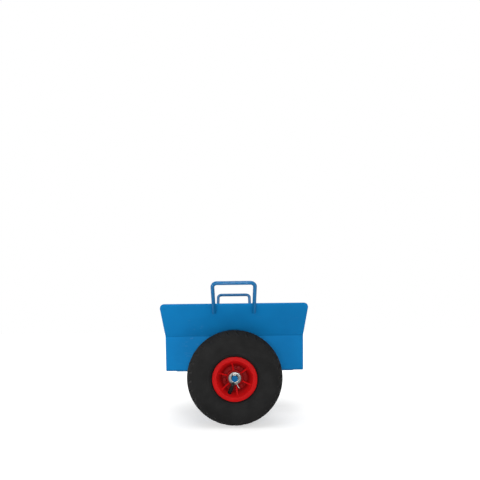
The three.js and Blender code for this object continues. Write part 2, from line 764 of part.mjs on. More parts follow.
function addHalf(parent, half, turn) {
  const group = new THREE.Group();
  group.rotation.z = turn;
  addJaw(group, half);
  const wheelFrame = new THREE.Group();
  wheelFrame.position.set(0, wheelMiddle, axleHeight);
  group.add(wheelFrame);
  addAxle(wheelFrame, half);
  addWheel(wheelFrame, half);
  parent.add(group);
}

function addHingeRod(parent) {
  const hinge = new THREE.Group();
  hinge.position.z = hingeHeight;
  parent.add(hinge);
  const bar = rod(hingeRodDiameter, -hingeRodEnd, hingeRodEnd, rodChamfer, shaftFacets);
  add(hinge, "hinge_rod", bar.rotateZ(Math.PI / 2), zincSteel);
  for (const [name, side] of [["left", -1], ["right", 1]]) {
    const bore = hingeRodDiameter + 2 * turningGap;
    const washer = ring(bore, knuckleDiameter, 0, hingeWasherThickness, shaftFacets);
    washer.translate(0, hingeWasherStart, 0).rotateZ((-side * Math.PI) / 2);
    add(hinge, `hinge_washer_${name}`, washer, zincSteel);
    const cap = hingeCap().translate(0, hingeCapStart, 0).rotateZ((-side * Math.PI) / 2);
    add(hinge, `hinge_cap_${name}`, cap, zincSteel);
  }
}

const cart = new THREE.Group();
addHalf(cart, "front", Math.PI);
addHalf(cart, "rear", 0);
addHingeRod(cart);

export default cart;
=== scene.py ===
"""Builds the looks of a sheet goods cart: two hinged steel jaws, each carried by a pneumatic wheel.

Metres, +Z up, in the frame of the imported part. A piece of the halves is modelled once, for the rear
half, whose wheel is towards +Y, and the front half is the rear half turned round about Z.
"""

import math

import bmesh
import bpy
from bpy.props import FloatProperty, FloatVectorProperty, IntProperty, PointerProperty
from mathutils import Matrix, Vector


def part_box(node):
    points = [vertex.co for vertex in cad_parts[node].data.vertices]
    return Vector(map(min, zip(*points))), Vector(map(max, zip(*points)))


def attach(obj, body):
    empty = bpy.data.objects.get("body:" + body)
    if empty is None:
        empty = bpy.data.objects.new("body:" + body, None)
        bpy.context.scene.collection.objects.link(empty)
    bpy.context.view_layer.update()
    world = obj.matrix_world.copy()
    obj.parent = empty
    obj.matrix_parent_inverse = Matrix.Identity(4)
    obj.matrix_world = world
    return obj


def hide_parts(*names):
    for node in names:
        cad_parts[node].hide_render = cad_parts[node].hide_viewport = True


bl_info = {
    "name": "Sheet Goods Cart",
    "version": (1, 0, 0),
    "blender": (4, 5, 0),
    "location": "3D View > Sidebar > Cart",
    "description": "Builds the looks of a sheet goods cart around its packed frame",
    "category": "Object",
}

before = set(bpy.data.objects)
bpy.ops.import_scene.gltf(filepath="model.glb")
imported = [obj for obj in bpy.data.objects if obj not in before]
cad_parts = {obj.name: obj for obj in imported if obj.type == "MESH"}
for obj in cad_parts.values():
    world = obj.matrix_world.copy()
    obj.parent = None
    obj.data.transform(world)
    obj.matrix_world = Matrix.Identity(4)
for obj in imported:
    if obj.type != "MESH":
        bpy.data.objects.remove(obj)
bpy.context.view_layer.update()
HALF_TURNS = {"front": Matrix.Rotation(math.pi, 4, "Z"), "rear": Matrix.Identity(4)}
MERGE_DISTANCE = 1e-6


def extent(node):
    low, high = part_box(node)
    return high - low


def middle(node):
    low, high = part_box(node)
    return (low + high) / 2


def length(label, text, default):
    return FloatProperty(name=label, description=text, default=default, min=0, precision=5, unit="LENGTH")


def angle(label, text, degrees):
    return FloatProperty(name=label, description=text, default=math.radians(degrees), subtype="ANGLE")


def count(label, text, default):
    return IntProperty(name=label, description=text, default=default, min=1)


def share(label, text, default):
    return FloatProperty(name=label, description=text, default=default, min=0, max=1, subtype="FACTOR")


def colour(label, text, code):
    """A colour property whose default is an sRGB code such as 1272b2."""
    channels = [int(code[i:i + 2], 16) / 255 for i in (0, 2, 4)]
    linear = [c / 12.92 if c <= 0.04045 else ((c + 0.055) / 1.055) ** 2.4 for c in channels]
    return FloatVectorProperty(
        name=label, description=text, default=(*linear, 1), size=4, min=0, max=1, subtype="COLOR"
    )


class CartSizes(bpy.types.PropertyGroup):
    """Sizes that the frame's boxes don't give."""

    joint_gap: length("Joint gap", "Gap between pieces that are welded or bonded", 0.0002)
    turning_gap: length("Turning gap", "Radial play of what turns on a shaft", 0.0004)
    plate_thickness: length("Plate thickness", "Thickness of the jaw plates", 0.004)
    bend_radius: length("Bend radius", "Radius inside the bends of a jaw plate", 0.004)
    flare_angle: angle("Flare angle", "Angle of the flare from the upright", 41)
    corner_radius: length("Corner radius", "Radius of the flare's top corners", 0.014)
    plate_edge: length("Plate edge", "Rounding of the plate's cut edges", 0.0007)
    bar_diameter: length("Handle bar", "Diameter of the handle's bar", 0.010)
    bar_bend: length("Handle bend", "Bend radius of the bar's centre line", 0.012)
    weld_width: length("Weld width", "Width of the weld beads", 0.0032)
    weld_pitch: length("Weld pitch", "Distance between the ripples of a weld", 0.0021)
    pad_grooves: count("Pad grooves", "Grooves along a clamp pad", 9)
    pad_groove_width: length("Pad groove width", "Width of a clamp pad's groove", 0.003)
    pad_groove_floor: length("Pad groove floor", "Width at the bottom of a groove", 0.0015)
    pad_groove_depth: length("Pad groove depth", "Depth of a clamp pad's groove", 0.0015)
    pad_edge: length("Pad edge", "Rounding of the pads' edges", 0.0004)
    axle_chamfer: length("Axle chamfer", "Chamfer at the axle's ends", 0.0015)
    spindle: length("Spindle", "Diameter of the axle where the wheel turns", 0.016)
    pin_wire: length("Split pin wire", "Thickness of the split pin's wire", 0.0024)
    pin_bend: length("Split pin bend", "Bend radius of the wire's centre line", 0.0022)
    pin_shoulder: length("Split pin shoulder", "From the axle to where the wires part", 0.0005)
    pin_spread: angle("Split pin spread", "Angle of each wire from the pin's line", 30)
    pin_eye: length("Split pin eye", "Width of the eye between its centre lines", 0.005)
    lugs: count("Tread lugs", "Lugs on each shoulder of the tyre", 30)
    groove_width: length("Tread groove", "Width of a groove between lugs", 0.009)
    groove_wall: length("Tread groove wall", "Width of a groove's sloping wall", 0.0012)
    groove_depth: length("Tread depth", "Depth of a groove at its inner end", 0.003)
    groove_inset: length("Tread inset", "Tread's middle to the inner end of a groove", 0.010)
    groove_slope: angle("Tread slope", "Slope of a groove down over the shoulder", 26)
    groove_angle: angle("Tread angle", "Angle of a groove from square across", 22)
    section_drop: length("Section drop", "Tyre's widest point below the middle of its side", 0.00675)
    squareness: FloatProperty(
        name="Section squareness", description="2 is an oval section, more is squarer", default=2.4, min=2
    )
    sidewall_start: length("Sidewall start", "Rim's edge to where the bulged side begins", 0.0035)
    sidewall: length("Sidewall", "Thickness of the tyre's side", 0.0065)
    crown: length("Crown", "Thickness of the tyre under its tread", 0.010)
    seat_gap: length("Seat gap", "Gap between tyre and rim", 0.0006)
    bead_width: length("Bead width", "Width of the tyre's bead", 0.009)
    bead_height: length("Bead height", "Height of the tyre's bead", 0.014)
    rim_width: length("Rim width", "Width of the rim over its flanges", 0.066)
    flange_height: length("Flange height", "Height of the flange over the bead seat", 0.009)
    flange_thickness: length("Flange thickness", "Thickness of the rim's flange", 0.004)
    seat_width: length("Seat width", "Width of the bead seat", 0.011)
    well_depth: length("Well depth", "Depth of the rim's well below the bead seat", 0.0035)
    rim_wall: length("Rim wall", "Wall between bead seat and pockets", 0.0027)
    pocket_floor: length("Pocket floor", "Diameter over the floor of the pockets", 0.069)
    floor_edge: length("Pocket shade", "By which the shade of the pocket's floor goes up its wall", 0.0012)
    web: length("Web", "Thickness of each half's web", 0.006)
    hub_diameter: length("Hub diameter", "Diameter of the hub at its end", 0.044)
    hub_draft: length("Hub draft", "By which the hub is thicker at its root", 0.001)
    ribs: count("Rim ribs", "Ribs between hub and rim", 6)
    rib_thickness: length("Rib thickness", "Thickness of a rib at its top", 0.0042)
    rib_root: length("Rib root", "Thickness of a rib at its root", 0.0052)
    rib_drop: length("Rib drop", "Rib's top edge below the hub's end and the rim's face", 0.003)
    rib_angle: angle("Rib angle", "Angle of the first rib, seen from outside", 39)
    rim_bolts: count("Rim bolts", "Bolts that hold the rim's halves together", 3)
    boss_diameter: length("Boss diameter", "Diameter of the bosses that take the bolts", 0.011)
    boss_height: length("Boss height", "Height of a boss above the web", 0.004)
    boss_edge: length("Boss edge", "Rounding of a boss's top edge", 0.001)
    valve_angle: angle("Valve angle", "Angle of the valve round the rim, seen from outside", 249)
    valve_lean: angle("Valve lean", "Lean of the valve outwards", 35)
    valve_foot: length("Valve foot", "Diameter of the valve's rubber foot", 0.011)
    valve_tip: length("Valve tip", "Diameter of the stem under its cap", 0.0075)
    valve_taper: length("Valve taper", "Length over which the stem narrows", 0.009)
    valve_length: length("Valve length", "Length of the stem", 0.0458)
    end_play: length("End play", "From the end of the bearing sleeve to the end of the hub", 0.0003)


class CartFinishes(bpy.types.PropertyGroup):
    """Colours of the cart's materials."""

    paint: colour("Paint", "Powder coat of the steelwork", "106da6")
    paint_dark: colour("Paint, dark", "Powder coat where it lies thick", "0f679e")
    tyre: colour("Tyre", "Rubber of the tyres", "1b1b1b")
    tyre_dark: colour("Tyre, dark", "Rubber of the tyres, darker patches", "161616")
    dust: colour("Dust", "Dust in the tread", "454341")
    rim: colour("Rim", "Plastic of the rims", "b81012")
    rim_dark: colour("Rim, dark", "Plastic of the rims, darker flow marks", "aa0e10")
    zinc: colour("Zinc", "Plated steel", "bfc0bd")
    zinc_dark: colour("Zinc, dark", "Plated steel, dull patches", "9b9d9b")
    steel: colour("Bearing steel", "Ground steel of the bearings", "a5a7aa")
    steel_dark: colour("Bearing steel, dark", "Oiled steel", "7c7e80")
    pad: colour("Pad", "Rubber of the pads", "2c2c2d")
    pad_dark: colour("Pad, dark", "Rubber of the pads, darker patches", "222223")
    black: colour("Black", "Black rubber and plastic of the valves", "151515")
    black_dark: colour("Black, dark", "Black rubber and plastic, darker patches", "0f0f0f")
    floor: colour("Floor", "Studio floor", "d0d0d0")


class CartStage(bpy.types.PropertyGroup):
    """Where the camera stands."""

    camera_distance: length("Camera distance", "From the middle of the front wheel", 0.906)
    camera_height: length("Camera height", "Above the floor", 0.273)
    lens: FloatProperty(name="Lens", description="Focal length of the camera", default=25.0, subtype="DISTANCE_CAMERA")
    shift_x: FloatProperty(name="Shift X", description="Sideways shift of the frame", default=0.0122)
    shift_y: FloatProperty(name="Shift Y", description="Upward shift of the frame", default=0.2079)
    roll: angle("Roll", "Turn of the camera about its own line", 0.68)
    pitch: angle("Pitch", "Downward tilt of the camera", 2.5)


def sizes():
    return bpy.context.scene.cart_sizes


def finishes():
    return bpy.context.scene.cart_finishes


# Outlines and plain meshes


def rounded(corners, steps=5, closed=True):
    """Points along corners given as (Vector, radius), with each corner turned into an arc."""
    points = []
    last = len(corners) - 1
    for i, (corner, radius) in enumerate(corners):
        at_end = not closed and i in (0, last)
        if at_end or radius <= 0:
            points.append(corner.copy())
            continue
        into = (corner - corners[i - 1][0]).normalized()
        out = (corners[(i + 1) % len(corners)][0] - corner).normalized()
        turn = into.angle(out)
        inward = (out - into * math.cos(turn)).normalized()
        start = corner - into * radius * math.tan(turn / 2)
        for k in range(steps + 1):
            part = turn * k / steps
            points.append(start + into * radius * math.sin(part) + inward * radius * (1 - math.cos(part)))
    return points


def mesh_from(name, bm):
    """A mesh with its faces turned outwards. The bmesh is freed."""
    bmesh.ops.remove_doubles(bm, verts=bm.verts, dist=MERGE_DISTANCE)
    bmesh.ops.recalc_face_normals(bm, faces=bm.faces)
    mesh = bpy.data.meshes.new(name)
    bm.to_mesh(mesh)
    bm.free()
    return mesh


def turned(name, profile, segments, closed=True):
    """A round piece about Y, from points (radius, place along Y). An open profile ends on the axis."""
    bm = bmesh.new()
    rings = []
    for radius, place in profile:
        steps = range(segments) if radius > MERGE_DISTANCE else range(1)
        turns = [2 * math.pi * k / segments for k in steps]
        rings.append([bm.verts.new((radius * math.sin(t), place, radius * math.cos(t))) for t in turns])
    pairs = list(zip(rings, rings[1:]))
    if closed:
        pairs.append((rings[-1], rings[0]))
    for a, b in pairs:
        for k in range(segments):
            n = (k + 1) % segments
            corners = [a[k % len(a)], a[n % len(a)], b[n % len(b)], b[k % len(b)]]
            face = list(dict.fromkeys(corners))
            if len(face) > 2:
                bm.faces.new(face)
    return mesh_from(name, bm)


def round_ring(name, bore, radius, start, end, edge, segments=64):
    """A ring about Y with rounded edges."""
    corners = [(bore, start), (radius, start), (radius, end), (bore, end)]
    return turned(name, rounded([(Vector(c), edge) for c in corners], 3), segments)


def along_x(name, section, half_length):
    """A closed outline in Y and Z, run along X."""
    bm = bmesh.new()
    ends = [[bm.verts.new((x, y, z)) for y, z in section] for x in (-half_length, half_length)]
    for end in ends:
        bm.faces.new(end)
    for k in range(len(section)):
        n = (k + 1) % len(section)
        bm.faces.new((ends[0][k], ends[0][n], ends[1][n], ends[1][k]))
    return mesh_from(name, bm)


def path_mesh(name, paths, closed=False):
    """Edges along each path, for the trees that sweep a section along them."""
    bm = bmesh.new()
    for path in paths:
        verts = [bm.verts.new(point) for point in path]
        pairs = list(zip(verts, verts[1:]))
        if closed:
            pairs.append((verts[-1], verts[0]))
        for pair in pairs:
            bm.edges.new(pair)
    mesh = bpy.data.meshes.new(name)
    bm.to_mesh(mesh)
    bm.free()
    return mesh


def joined(name, meshes):
    bm = bmesh.new()
    for mesh in meshes:
        bm.from_mesh(mesh)
    mesh = bpy.data.meshes.new(name)
    bm.to_mesh(mesh)
    bm.free()
    return mesh


def moved(mesh, matrix):
    mesh.transform(matrix)
    return mesh


def shaded(mesh, sharp_degrees=38):
    mesh.shade_smooth()
    mesh.set_sharp_from_angle(angle=math.radians(sharp_degrees))
    return mesh


def marked(mesh, attribute, where=None):
    """A mesh whose material can read which of its points are of a kind: all, or those of a test."""
    layer = mesh.attributes.new(attribute, "FLOAT", "POINT")
    chosen = [1.0 if where is None or where(vertex.co) else 0.0 for vertex in mesh.vertices]
    layer.data.foreach_set("value", chosen)
    return mesh


def scratch(mesh):
    """An object that holds a mesh while modifiers work on it."""
    obj = bpy.data.objects.new(mesh.name, mesh)
    bpy.context.scene.collection.objects.link(obj)
    return obj


def result_of(obj):
    """The plain mesh that an object's modifiers make. The object is removed."""
    graph = bpy.context.evaluated_depsgraph_get()
    mesh = bpy.data.meshes.new_from_object(obj.evaluated_get(graph))
    mesh.name = obj.name
    obj.modifiers.clear()
    bpy.data.objects.remove(obj)
    return mesh


def edge_rounded(mesh, width, segments=2, degrees=35):
    obj = scratch(mesh)
    bevel = obj.modifiers.new("Edges", "BEVEL")
    bevel.width = width
    bevel.segments = segments
    bevel.limit_method = "ANGLE"
    bevel.angle_limit = math.radians(degrees)
    return result_of(obj)


def combined(mesh, additions=(), cuts=()):
    """A mesh with others joined to it as one solid, and others cut out of it."""
    obj = scratch(mesh)
    tools = []
    for operation, group in (("UNION", additions), ("DIFFERENCE", cuts)):
        for tool in group:
            tools.append(scratch(tool))
            modifier = obj.modifiers.new(operation.title(), "BOOLEAN")
            modifier.operation = operation
            modifier.solver = "EXACT"
            modifier.object = tools[-1]
    whole = result_of(obj)
    for tool in tools:
        bpy.data.objects.remove(tool)
    return whole


# Geometry node trees


def new_tree(name, inputs):
    """A geometry node tree with a geometry in and out, and inputs given as (name, socket type, default)."""
    tree = bpy.data.node_groups.new(name, "GeometryNodeTree")
    tree.interface.new_socket("Geometry", in_out="INPUT", socket_type="NodeSocketGeometry")
    for label, kind, default in inputs:
        socket = tree.interface.new_socket(label, in_out="INPUT", socket_type=kind)
        if default is not None:
            socket.default_value = default
    tree.interface.new_socket("Geometry", in_out="OUTPUT", socket_type="NodeSocketGeometry")
    return tree, tree.nodes.new("NodeGroupInput").outputs, tree.nodes.new("NodeGroupOutput").inputs


def node(tree, kind, settings=None, **inputs):
    """A node with its settings, and inputs by name: sockets are linked and values are set."""
    made = tree.nodes.new(kind)
    for key, value in (settings or {}).items():
        setattr(made, key, value)
    for label, value in inputs.items():
        name = label.replace("_", " ")
        target = next(s for s in made.inputs if s.name == name and s.enabled)
        if isinstance(value, bpy.types.NodeSocket):
            tree.links.new(value, target)
        else:
            target.default_value = value
    return made


def math_node(tree, operation, *values):
    made = tree.nodes.new("ShaderNodeMath")
    made.operation = operation
    for target, value in zip(made.inputs, values):
        if isinstance(value, bpy.types.NodeSocket):
            tree.links.new(value, target)
        else:
            target.default_value = value
    return made.outputs[0]


def finish_tree(tree, geometry, given, result):
    """Ends a tree with plain, smooth geometry in the given material."""
    real = node(tree, "GeometryNodeRealizeInstances", Geometry=geometry)
    merged = node(tree, "GeometryNodeMergeByDistance", Geometry=real.outputs[0], Distance=MERGE_DISTANCE)
    smooth = node(tree, "GeometryNodeSetShadeSmooth", Geometry=merged.outputs[0])
    painted = node(tree, "GeometryNodeSetMaterial", Geometry=smooth.outputs[0], Material=given["Material"])
    tree.links.new(painted.outputs[0], result["Geometry"])
    return tree


def repeat_round_tree():
    """Copies of a shape, evenly round a line along Y."""
    inputs = [
        ("Count", "NodeSocketInt", 6),
        ("Centre", "NodeSocketVector", None),
        ("Material", "NodeSocketMaterial", None),
    ]
    tree, given, result = new_tree("Repeat Round Axle", inputs)
    back = node(tree, "ShaderNodeVectorMath", {"operation": "SCALE"}, Vector=given["Centre"], Scale=-1.0)
    centred = node(
        tree, "GeometryNodeTransform", Geometry=given["Geometry"], Translation=back.outputs["Vector"]
    )
    points = node(tree, "GeometryNodeMeshLine", Count=given["Count"], Offset=(0, 0, 0))
    index = node(tree, "GeometryNodeInputIndex")
    step = math_node(tree, "DIVIDE", 2 * math.pi, given["Count"])
    turn = math_node(tree, "MULTIPLY", index.outputs[0], step)
    rotation = node(tree, "ShaderNodeCombineXYZ", X=0.0, Y=turn, Z=0.0)
    copies = node(
        tree,
        "GeometryNodeInstanceOnPoints",
        Points=points.outputs[0],
        Instance=centred.outputs[0],
        Rotation=rotation.outputs[0],
    )
    placed = node(
        tree, "GeometryNodeTransform", Geometry=copies.outputs[0], Translation=given["Centre"]
    )
    return finish_tree(tree, placed.outputs[0], given, result)


def copies_tree():
    """A copy of one shape at each point of another."""
    inputs = [("Shape", "NodeSocketObject", None), ("Material", "NodeSocketMaterial", None)]
    tree, given, result = new_tree("Copies At Points", inputs)
    shape = node(tree, "GeometryNodeObjectInfo", Object=given["Shape"])
    copies = node(
        tree,
        "GeometryNodeInstanceOnPoints",
        Points=given["Geometry"],
        Instance=shape.outputs["Geometry"],
    )
    return finish_tree(tree, copies.outputs[0], given, result)


def bar_tree():
    """A round bar along a path, a little thinner at its two ends."""
    inputs = [
        ("Radius", "NodeSocketFloat", 0.005),
        ("End Radius", "NodeSocketFloat", 0.0045),
        ("Sides", "NodeSocketInt", 24),
        ("Material", "NodeSocketMaterial", None),
    ]
    tree, given, result = new_tree("Bar Along Path", inputs)
    curve = node(tree, "GeometryNodeMeshToCurve", Mesh=given["Geometry"])
    ends = node(tree, "GeometryNodeCurveEndpointSelection")
    ease = math_node(tree, "SUBTRACT", given["End Radius"], given["Radius"])
    radius = math_node(tree, "MULTIPLY_ADD", ends.outputs[0], ease, given["Radius"])
    section = node(tree, "GeometryNodeCurvePrimitiveCircle", Resolution=given["Sides"], Radius=1.0)
    bar = node(
        tree,
        "GeometryNodeCurveToMesh",
        Curve=curve.outputs[0],
        Profile_Curve=section.outputs[0],
        Scale=radius,
        Fill_Caps=True,
    )
    return finish_tree(tree, bar.outputs[0], given, result)


def weld_tree():
    """A rippled weld bead along a path."""
    inputs = [
        ("Radius", "NodeSocketFloat", 0.002),
        ("Pitch", "NodeSocketFloat", 0.002),
        ("Ripple", "NodeSocketFloat", 0.12),
        ("Material", "NodeSocketMaterial", None),
    ]
    tree, given, result = new_tree("Weld Bead", inputs)
    curve = node(tree, "GeometryNodeMeshToCurve", Mesh=given["Geometry"])
    spacing = math_node(tree, "DIVIDE", given["Pitch"], 4.0)
    fine = node(
        tree, "GeometryNodeResampleCurve", {"mode": "LENGTH"}, Curve=curve.outputs[0], Length=spacing
    )
    along = node(tree, "GeometryNodeSplineParameter")
    phase = math_node(tree, "DIVIDE", along.outputs["Length"], given["Pitch"])
    wave = math_node(tree, "SINE", math_node(tree, "MULTIPLY", phase, 2 * math.pi))
    swell = math_node(tree, "MULTIPLY_ADD", wave, given["Ripple"], 1.0)
    radius = math_node(tree, "MULTIPLY", swell, given["Radius"])
    section = node(tree, "GeometryNodeCurvePrimitiveCircle", Resolution=10, Radius=1.0)
    bead = node(
        tree,
        "GeometryNodeCurveToMesh",
        Curve=fine.outputs[0],
        Profile_Curve=section.outputs[0],
        Scale=radius,
        Fill_Caps=True,
    )
    return finish_tree(tree, bead.outputs[0], given, result)


def grown(mesh, make_tree, **values):
    """The mesh that a geometry node tree makes from a mesh, with the tree's inputs by name."""
    name = make_tree.__name__
    tree = bpy.data.node_groups.get(TREE_NAMES[name]) or make_tree()
    obj = scratch(mesh)
    modifier = obj.modifiers.new(tree.name, "NODES")
    modifier.node_group = tree
    for item in tree.interface.items_tree:
        label = item.name.replace(" ", "_")
        if item.in_out == "INPUT" and label in values:
            modifier[item.identifier] = values[label]
    return result_of(obj)


TREE_NAMES = {
    "repeat_round_tree": "Repeat Round Axle",
    "copies_tree": "Copies At Points",
    "bar_tree": "Bar Along Path",
    "weld_tree": "Weld Bead",
}


# Materials


def new_group(name, inputs, outputs):
    """A shader node group, with inputs as (name, socket type) and outputs likewise."""
    tree = bpy.data.node_groups.new(name, "ShaderNodeTree")
    for direction, sockets in (("INPUT", inputs), ("OUTPUT", outputs)):
        for label, kind in sockets:
            tree.interface.new_socket(label, in_out=direction, socket_type=kind)
    return tree, tree.nodes.new("NodeGroupInput").outputs, tree.nodes.new("NodeGroupOutput").inputs


def noise(tree, scale, detail=3.0, stretch=None):
    place = node(tree, "ShaderNodeTexCoord").outputs["Object"]
    if stretch:
        place = node(tree, "ShaderNodeMapping", Vector=place, Scale=stretch).outputs[0]
    return node(tree, "ShaderNodeTexNoise", Vector=place, Scale=scale, Detail=detail).outputs[0]


def mapped(tree, value, low, high, to_low=0.0, to_high=1.0):
    return node(
        tree,
        "ShaderNodeMapRange",
        Value=value,
        From_Min=low,
        From_Max=high,
        To_Min=to_low,
        To_Max=to_high,
    ).outputs[0]


def mix_colours(tree, factor, a, b):
    mix = tree.nodes.new("ShaderNodeMix")
    mix.data_type = "RGBA"
    for key, value in ((0, factor), (6, a), (7, b)):
        if isinstance(value, bpy.types.NodeSocket):
            tree.links.new(value, mix.inputs[key])
        else:
            mix.inputs[key].default_value = value
    return mix.outputs[2]


def mottle_group():
    """Two shades of one colour in soft patches."""
    group = bpy.data.node_groups.get("Mottle")
    if group:
        return group
    inputs = [("Scale", "NodeSocketFloat"), ("Light", "NodeSocketColor"), ("Dark", "NodeSocketColor")]
    group, given, result = new_group("Mottle", inputs, [("Colour", "NodeSocketColor")])
    patches = mapped(group, noise(group, given["Scale"]), 0.36, 0.64)
    group.links.new(mix_colours(group, patches, given["Dark"], given["Light"]), result["Colour"])
    return group


def grain_group():
    """The fine relief of a surface, and the roughness that goes with it."""
    group = bpy.data.node_groups.get("Grain")
    if group:
        return group
    inputs = [("Scale", "NodeSocketFloat"), ("Smooth", "NodeSocketFloat"), ("Rough", "NodeSocketFloat")]
    outputs = [("Height", "NodeSocketFloat"), ("Roughness", "NodeSocketFloat")]
    group, given, result = new_group("Grain", inputs, outputs)
    fine = noise(group, given["Scale"])
    patches = noise(group, 60.0)
    group.links.new(fine, result["Height"])
    rough = mapped(group, patches, 0.3, 0.7, given["Smooth"], given["Rough"])
    group.links.new(rough, result["Roughness"])
    return group


def scuff_group():
    """A mask of short, thin scratches in a few places."""
    group = bpy.data.node_groups.get("Scuffs")
    if group:
        return group
    group, given, result = new_group(
        "Scuffs", [("Scale", "NodeSocketFloat")], [("Mask", "NodeSocketFloat")]
    )
    lines = mapped(group, noise(group, given["Scale"], 2.0, (1, 9, 9)), 0.64, 0.70)
    places = mapped(group, noise(group, 14.0), 0.52, 0.66)
    group.links.new(math_node(group, "MULTIPLY", lines, places), result["Mask"])
    return group


def grouped(tree, group, **inputs):
    made = tree.nodes.new("ShaderNodeGroup")
    made.node_tree = group
    for label, value in inputs.items():
        made.inputs[label].default_value = value
    return made.outputs


def surface(slot, look):
    """A material made of the shared groups, with its own values from a look."""
    found = bpy.data.materials.get(slot + "_finish")
    if found:
        return found
    material = bpy.data.materials.new(slot + "_finish")
    material.use_nodes = True
    tree = material.node_tree
    shader = tree.nodes["Principled BSDF"]
    for label, value in look["fixed"].items():
        shader.inputs[label].default_value = value
    base = grouped(
        tree, mottle_group(), Scale=look["patches"], Light=look["light"], Dark=look["dark"]
    )["Colour"]
    for attribute, amount, tint in look.get("tints", ()):
        reading = node(tree, "ShaderNodeAttribute", {"attribute_name": attribute})
        share_of = math_node(tree, "MULTIPLY", reading.outputs["Fac"], amount)
        base = mix_colours(tree, share_of, base, tint)
    if "scuffs" in look:
        mask = grouped(tree, scuff_group(), Scale=look["scuffs"])["Mask"]
        faint = math_node(tree, "MULTIPLY", mask, look["scuff_strength"])
        base = mix_colours(tree, faint, base, look["scuff_colour"])
    grain = grouped(
        tree, grain_group(), Scale=look["grain"], Smooth=look["smooth"], Rough=look["rough"]
    )
    bump = node(
        tree, "ShaderNodeBump", Strength=look["relief"], Distance=look["depth"], Height=grain["Height"]
    )
    rough = grain["Roughness"]
    # Places marked on the handle bars are glossier and smoother; their darker colour is painted shade, given among the
    # tints.
    if "gloss" in look:
        reading = node(tree, "ShaderNodeAttribute", {"attribute_name": "gloss"})
        plain = look["fixed"]["Specular IOR Level"]
        level = mapped(tree, reading.outputs["Fac"], 0.0, 1.0, plain, look["gloss"])
        tree.links.new(level, shader.inputs["Specular IOR Level"])
        smoother = mapped(tree, reading.outputs["Fac"], 0.0, 1.0, 1.0, 0.4)
        rough = math_node(tree, "MULTIPLY", rough, smoother)
    tree.links.new(base, shader.inputs["Base Color"])
    tree.links.new(rough, shader.inputs["Roughness"])
    tree.links.new(bump.outputs[0], shader.inputs["Normal"])
    return material


def finish_for(slot):
    """The material of one of the record's slots."""
    c = finishes()
    pale = (0.55, 0.6, 0.65, 1)
    looks = {
        "blue_paint": {
            "light": c.paint, "dark": c.paint_dark, "patches": 9.0, "grain": 520.0,
            "smooth": 0.33, "rough": 0.43, "relief": 0.10, "depth": 0.0004,
            "scuffs": 60.0, "scuff_strength": 0.05, "scuff_colour": pale,
            "tints": [
                # Painted shade in the creases of the bends.
                # The axle's outer end face is painted a darker blue.
                ("crease", 0.45, (0.0, 0.05, 0.13, 1)), ("worn", 0.6, (0.004, 0.05, 0.13, 1)),
                # Painted shade: the handle bars are painted a darker blue.
                ("gloss", 0.45, (0.004, 0.06, 0.15, 1)),
            ],
            "fixed": {"Specular IOR Level": 0.015}, "gloss": 0.2,
        },
        "tyre_rubber": {
            "light": c.tyre, "dark": c.tyre_dark, "patches": 26.0, "grain": 900.0,
            "smooth": 0.62, "rough": 0.8, "relief": 0.25, "depth": 0.0003,
            "scuffs": 45.0, "scuff_strength": 0.12, "scuff_colour": c.dust,
            "tints": [("groove", 0.15, c.dust)],
            "fixed": {"Specular IOR Level": 0.06},
        },
        "red_plastic": {
            "light": c.rim, "dark": c.rim_dark, "patches": 30.0, "grain": 1400.0,
            "smooth": 0.34, "rough": 0.46, "relief": 0.08, "depth": 0.0002,
            "scuffs": 80.0, "scuff_strength": 0.04, "scuff_colour": pale,
            "tints": [
                # Painted shade: the pockets' floors, the bosses' tops and the hub's end are painted almost black.
                # Painted shade: the rim's face and the rib tops are painted a darker red than the pocket walls.
                ("face", 0.4, (0.25, 0.004, 0.004, 1)), ("deep", 0.68, (0.03, 0.0015, 0.0015, 1)),
            ],
            "fixed": {"Specular IOR Level": 0.03},
        },
        "zinc_steel": {
            "light": c.zinc, "dark": c.zinc_dark, "patches": 240.0, "grain": 1600.0,
            "smooth": 0.24, "rough": 0.4, "relief": 0.1, "depth": 0.0001,
            # Painted reflection: the washers are painted dark, for the dark surroundings that their flat faces mirror.
            # Painted shade: one leg of each split pin is painted near black.
            "tints": [("dull", 0.92, (0.055, 0.055, 0.055, 1)), ("oily", 0.97, (0.006, 0.006, 0.006, 1))],
            "fixed": {"Metallic": 1.0},
        },
        "bearing_steel": {
            "light": c.steel, "dark": c.steel_dark, "patches": 160.0, "grain": 1800.0,
            "smooth": 0.16, "rough": 0.3, "relief": 0.05, "depth": 0.0001,
            "fixed": {"Metallic": 1.0},
        },
        "pad_rubber": {
            "light": c.pad, "dark": c.pad_dark, "patches": 40.0, "grain": 700.0,
            "smooth": 0.7, "rough": 0.88, "relief": 0.3, "depth": 0.0003,
            "scuffs": 50.0, "scuff_strength": 0.16, "scuff_colour": c.dust,
            "fixed": {"Specular IOR Level": 0.3},
        },
        "tube_rubber": {
            "light": c.black, "dark": c.black_dark, "patches": 40.0, "grain": 700.0,
            "smooth": 0.5, "rough": 0.7, "relief": 0.1, "depth": 0.0003,
            "fixed": {"Specular IOR Level": 0.4},
        },
        "black_rubber": {
            "light": c.black, "dark": c.black_dark, "patches": 120.0, "grain": 1500.0,
            "smooth": 0.45, "rough": 0.6, "relief": 0.12, "depth": 0.0002,
            "fixed": {"Specular IOR Level": 0.12},
        },
        "black_plastic": {
            "light": c.black, "dark": c.black_dark, "patches": 120.0, "grain": 1500.0,
            "smooth": 0.3, "rough": 0.45, "relief": 0.08, "depth": 0.0002,
            "fixed": {"Specular IOR Level": 0.15},
        },
    }
    return surface(slot, looks[slot])


# Pieces on the frame


